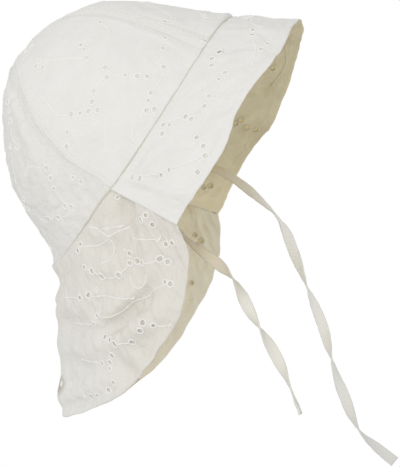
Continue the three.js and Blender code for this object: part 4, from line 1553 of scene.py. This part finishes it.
# The mark's colour, and an oval for it: one over its half width and half height, and its
# middle across and down the cloth, times those.
MARK = (0.46, 0.44, 0.365, 1)
MARK_SCALE = (0.14, 0.27, 0.0)
MARK_PLACE = (0.63, 13.55, 0.0)

flap_cotton_shaded = cotton_finish("flap_cotton_shaded", FLAP_COTTON_SHADED, FLAP_SLUB_SHADED, near_head=FLAP_SEAM_SHADE,
                            painted_ends=(FLAP_END_SHADE, FLAP_END_SHADE_FROM, FLAP_END_SHADE_FULL), crumpled=CRUMPLED,
                            mark=(MARK, MARK_SCALE, MARK_PLACE))
flap_shaded = cotton_finish("flap_shaded", FLAP_SHADED, FLAP_SHADED_SLUB)
flap_inner_warm_light = cotton_finish("flap_inner_warm_light", FLAP_INNER_WARM_LIGHT, FLAP_INNER_SLUB_WARM_LIGHT, FLAP_INNER_SEAM_SHADE, FLAP_INNER_PATCH_SHADE)

# The joins of brim and flap, with their edges turned in.
JOIN_DEPTH = 0.5
join_rows = np.linspace(0.0, 0.96, 60)
for join_name, join_angle in {"right": -BRIM_END, "left": BRIM_END}.items():
    turned_edges("seam_join_" + join_name, skirt, -1, 0 * join_rows + join_angle, join_rows,
                 JOIN_DEPTH, SEAM_RADIUS, flap_cotton_shaded)

FLAP_SPRAYS = [
    [(-139, 0.06, SMALL), (-142, 0.08, BIG)],
    [(-145, 0.2, BIG), (-143, 0.27, LARGE), (-142, 0.35, LARGE), (-137, 0.47, LARGE)],
    [(-128.5, 0.47, BIG), (-131.5, 0.5, BIG), (-129.5, 0.55, LARGE), (-128.5, 0.61, BIG)],
    [(-124.5, 0.75, BIG), (-124.5, 0.81, BIG)],
    [(-119.5, 0.78, BIG), (-118, 0.85, BIG)],
    [(-147, 0.37, SMALL), (-151, 0.35, BIG), (-155, 0.32, BIG), (-152, 0.38, BIG)],
    [(-152, 0.5, BIG), (-155, 0.52, BIG)],
    [(-129.5, 0.84, SMALL), (-131, 0.83, BIG), (-129, 0.89, BIG)],
    [(-141, 0.83, BIG), (-143, 0.84, BIG), (-140.5, 0.89, SMALL)],
    [(-154, 0.65, BIG), (-152, 0.7, BIG), (-151, 0.75, LARGE), (-147, 0.83, BIG)],
    [(-155, 0.77, BIG), (-157, 0.79, BIG), (-159.5, 0.76, BIG), (-158, 0.82, SMALL)],
    [(-159, 0.91, BIG), (-161.5, 0.93, BIG)],
    [(-172.5, 0.79, BIG), (-176.5, 0.77, SMALL)],
    [(-112, 0.59, SMALL), (-114.5, 0.53, BIG), (-114.5, 0.66, BIG)],
    [(-169, 0.9, SMALL), (-167, 0.92, BIG), (-165, 0.93, SMALL)],
    [(-111.8, 0.12, SMALL)],
]
# Sprays near the middle of the back, which aren't mirrored.
NAPE_SPRAYS = [
    [(174, 0.28, BIG), (170, 0.34, BIG), (171, 0.25, SMALL)],
    [(175, 0.6, BIG), (171, 0.64, BIG)],
    [(160, 0.16, BIG), (156, 0.2, SMALL)],
]
FLAP_CORDS = [
    [(-139, 0.08), (-135, 0.17), (-132, 0.22), (-129, 0.25), (-126, 0.27), (-122, 0.35)],
    [(-129, 0.03), (-128, 0.1), (-127.5, 0.17), (-127, 0.23)],
    [(-128, 0.27), (-130, 0.32), (-134, 0.34), (-137, 0.32)],
    [(-124, 0.42), (-123, 0.5), (-121, 0.6), (-119, 0.7)],
    [(-126, 0.17), (-125, 0.2)], [(-123.5, 0.24), (-122, 0.28)], [(-129, 0.38), (-128.5, 0.43)],
    [(-145, 0.2), (-143, 0.27), (-142, 0.35), (-137, 0.47), (-131.5, 0.5)],
    [(-128.5, 0.61), (-127, 0.68), (-124.5, 0.75)],
    [(-135, 0.53), (-136, 0.58), (-136, 0.65), (-134, 0.68), (-132, 0.68)],
    [(-155, 0.32), (-159, 0.28), (-166, 0.23)],
    [(-152, 0.5), (-148, 0.58), (-145, 0.62), (-141, 0.65), (-138, 0.7), (-134, 0.75), (-130.5, 0.83)],
    [(-150, 0.38), (-145, 0.47), (-142, 0.56), (-140, 0.63)],
    [(-155, 0.52), (-161, 0.47), (-166, 0.42)],
    [(-140.5, 0.89), (-140, 0.93), (-139, 0.96)],
    [(-151, 0.75), (-149, 0.79), (-147, 0.83)],
    [(-159.5, 0.76), (-162.5, 0.71), (-165.5, 0.67)],
]
FLAP_UNDER_SPRAYS = [
    [(119.5, 0.73, SMALL), (120.5, 0.80, SMALL), (122.5, 0.76, SMALL)],
    [(128, 0.50, BIG), (131, 0.54, BIG)],
    [(136, 0.80, BIG), (139, 0.76, BIG), (134, 0.85, SMALL)],
    [(148, 0.60, BIG), (152, 0.64, BIG), (150, 0.55, SMALL)],
    [(165, 0.75, BIG), (169, 0.80, BIG)],
    [(160, 0.35, BIG), (164, 0.30, BIG)],
    [(140, 0.25, BIG), (143, 0.20, SMALL)],
]
FLAP_CREASES = [
    (-111, 0.16, 60, 9, 5, -1.8), (-116, 0.34, -29, 18, 6, -3.8), (-125, 0.20, -29, 17, 6, 2.4),
    (-118.5, 0.56, -25, 18, 7, 1.8), (-133, 0.32, 80, 16, 7, -2.6), (-121, 0.30, 100, 8, 2.2, -0.7),
    (-127, 0.12, 95, 8, 2.2, -0.8), (-131, 0.12, 95, 8, 2.2, 0.6), (-137, 0.14, 95, 7, 2.4, -0.7),
    (-133, 0.55, 15, 22, 6, -3.2), (-143, 0.39, 45, 12, 5, -3.2), (-164, 0.46, 28, 18, 8, -4.6),
    (-145, 0.68, 21, 17, 5, -6.4), (-144.5, 0.80, 38, 20, 5.4, 4.4), (-151, 0.54, 15, 20, 6.5, 4.2),
    (-161, 0.60, 12, 18, 6, 3.6), (-162, 0.77, 40, 10, 5, -3.0), (-154.5, 0.90, 95, 9, 4, -3.2),
    (-151, 0.90, 80, 12, 3.2, 1.8), (-169, 0.93, 0, 22, 3, -1.8), (-169, 0.84, 0, 20, 6, 1.6),
    (-136, 0.66, 25, 12, 3, 1.0), (180, 0.01, 0, 34, 5.5, 7.0), (180, 0.25, 0, 30, 8, 2.6),
    (180, 0.67, 0, 26, 14, -3.8), (180, 0.31, 0, 30, 4, 1.0), (180, 0.62, 0, 26, 5, -0.8),
    (-120, 0.62, 10, 22, 12, 1.4), (-114, 0.9, 70, 14, 3.4, -1.2),
    (121, 0.25, -60, 24, 3.8, -2.2), (127, 0.30, -65, 16, 3.4, 1.6), (138, 0.50, -15, 26, 6, -1.8),
    (150, 0.58, -12, 24, 5, 1.8), (150, 0.74, -22, 26, 3.8, -2.2), (164, 0.80, -30, 20, 4, 1.6),
]
FLAP_SHIFT = (3, 0.04)
flap_panel = Panel(skirt, -1, lambda row: BRIM_END + 0 * row, lambda row: 360.0 - BRIM_END + 0 * row,
                   1.0, 71, 1.7, 0.85, FLAP_CREASES, side_lift=-0.25)
flap_cloth, flap_work = dress(
    "neck_flap", flap_panel, both_sides(FLAP_SPRAYS, FLAP_SHIFT) + NAPE_SPRAYS,
    both_sides(FLAP_CORDS, CORD_SHIFT), 1, skirt_rows, flap_cotton_shaded, hollow_warm_light_cotton)
flap_under, flap_under_work = dress_under(
    "neck_flap", flap_panel, both_sides(FLAP_UNDER_SPRAYS, UNDER_SHIFT), flap_shaded, flap_inner_warm_light)
declare_sheet(flap_panel)
declare_sheet(flap_panel)

# ---------------------------------------------------------------------------------------
# Studio: a pale floor well under the hat, an even white surround, and one soft round light
# behind the camera and above it that models the folds.
FLOOR_HEIGHT = -0.62
FLOOR_RADIUS = 1.6
SURROUND = 0.78
BACKDROP = 1.0
FLOOR_PALE = (0.84, 0.84, 0.83, 1)
FLOOR_GRAIN = (0.80, 0.80, 0.79, 1)
KEY_PLACE = (-0.1, -2.5, 0.75)
KEY_SIZE = 1.3
KEY_WATTS = 18.5

world = bpy.data.worlds.new("studio")
bpy.context.scene.world = world
world.use_nodes = True
background = world.node_tree.nodes["Background"]
background.inputs["Color"].default_value = (1, 1, 1, 1)
surround = Shade(world.node_tree, None)
seen = surround.node("ShaderNodeLightPath", {}, {})
lead(SURROUND + (BACKDROP - SURROUND) * seen, background, "Strength")
bpy.context.scene.view_settings.view_transform = "Standard"

floor_mesh = bpy.data.meshes.new("floor")
floor_form = bmesh.new()
bmesh.ops.create_circle(floor_form, cap_ends=True, segments=96, radius=FLOOR_RADIUS)
floor_form.to_mesh(floor_mesh)
floor_form.free()
floor = bpy.data.objects.new("floor", floor_mesh)
floor.location.z = FLOOR_HEIGHT
bpy.context.scene.collection.objects.link(floor)
floor_material, floor_shader, floor_start = new_finish("pale_floor", 0.9, 0)
floor_grain = floor_start.node("ShaderNodeTexNoise", {}, {"Scale": 3.0, "Detail": 2.0})
lead(floor_grain.between(FLOOR_GRAIN, FLOOR_PALE), floor_shader, "Base Color")
floor_mesh.materials.append(floor_material)

key_data = bpy.data.lights.new("key", "AREA")
key_data.shape = "DISK"
key_data.size = KEY_SIZE
key_data.energy = KEY_WATTS
key = bpy.data.objects.new("key", key_data)
bpy.context.scene.collection.objects.link(key)
key_turn = (Vector(KEY_PLACE) - Vector(CAMERA_AIM)).to_track_quat("Z", "Y")
key.matrix_world = Matrix.Translation(KEY_PLACE) @ key_turn.to_matrix().to_4x4()
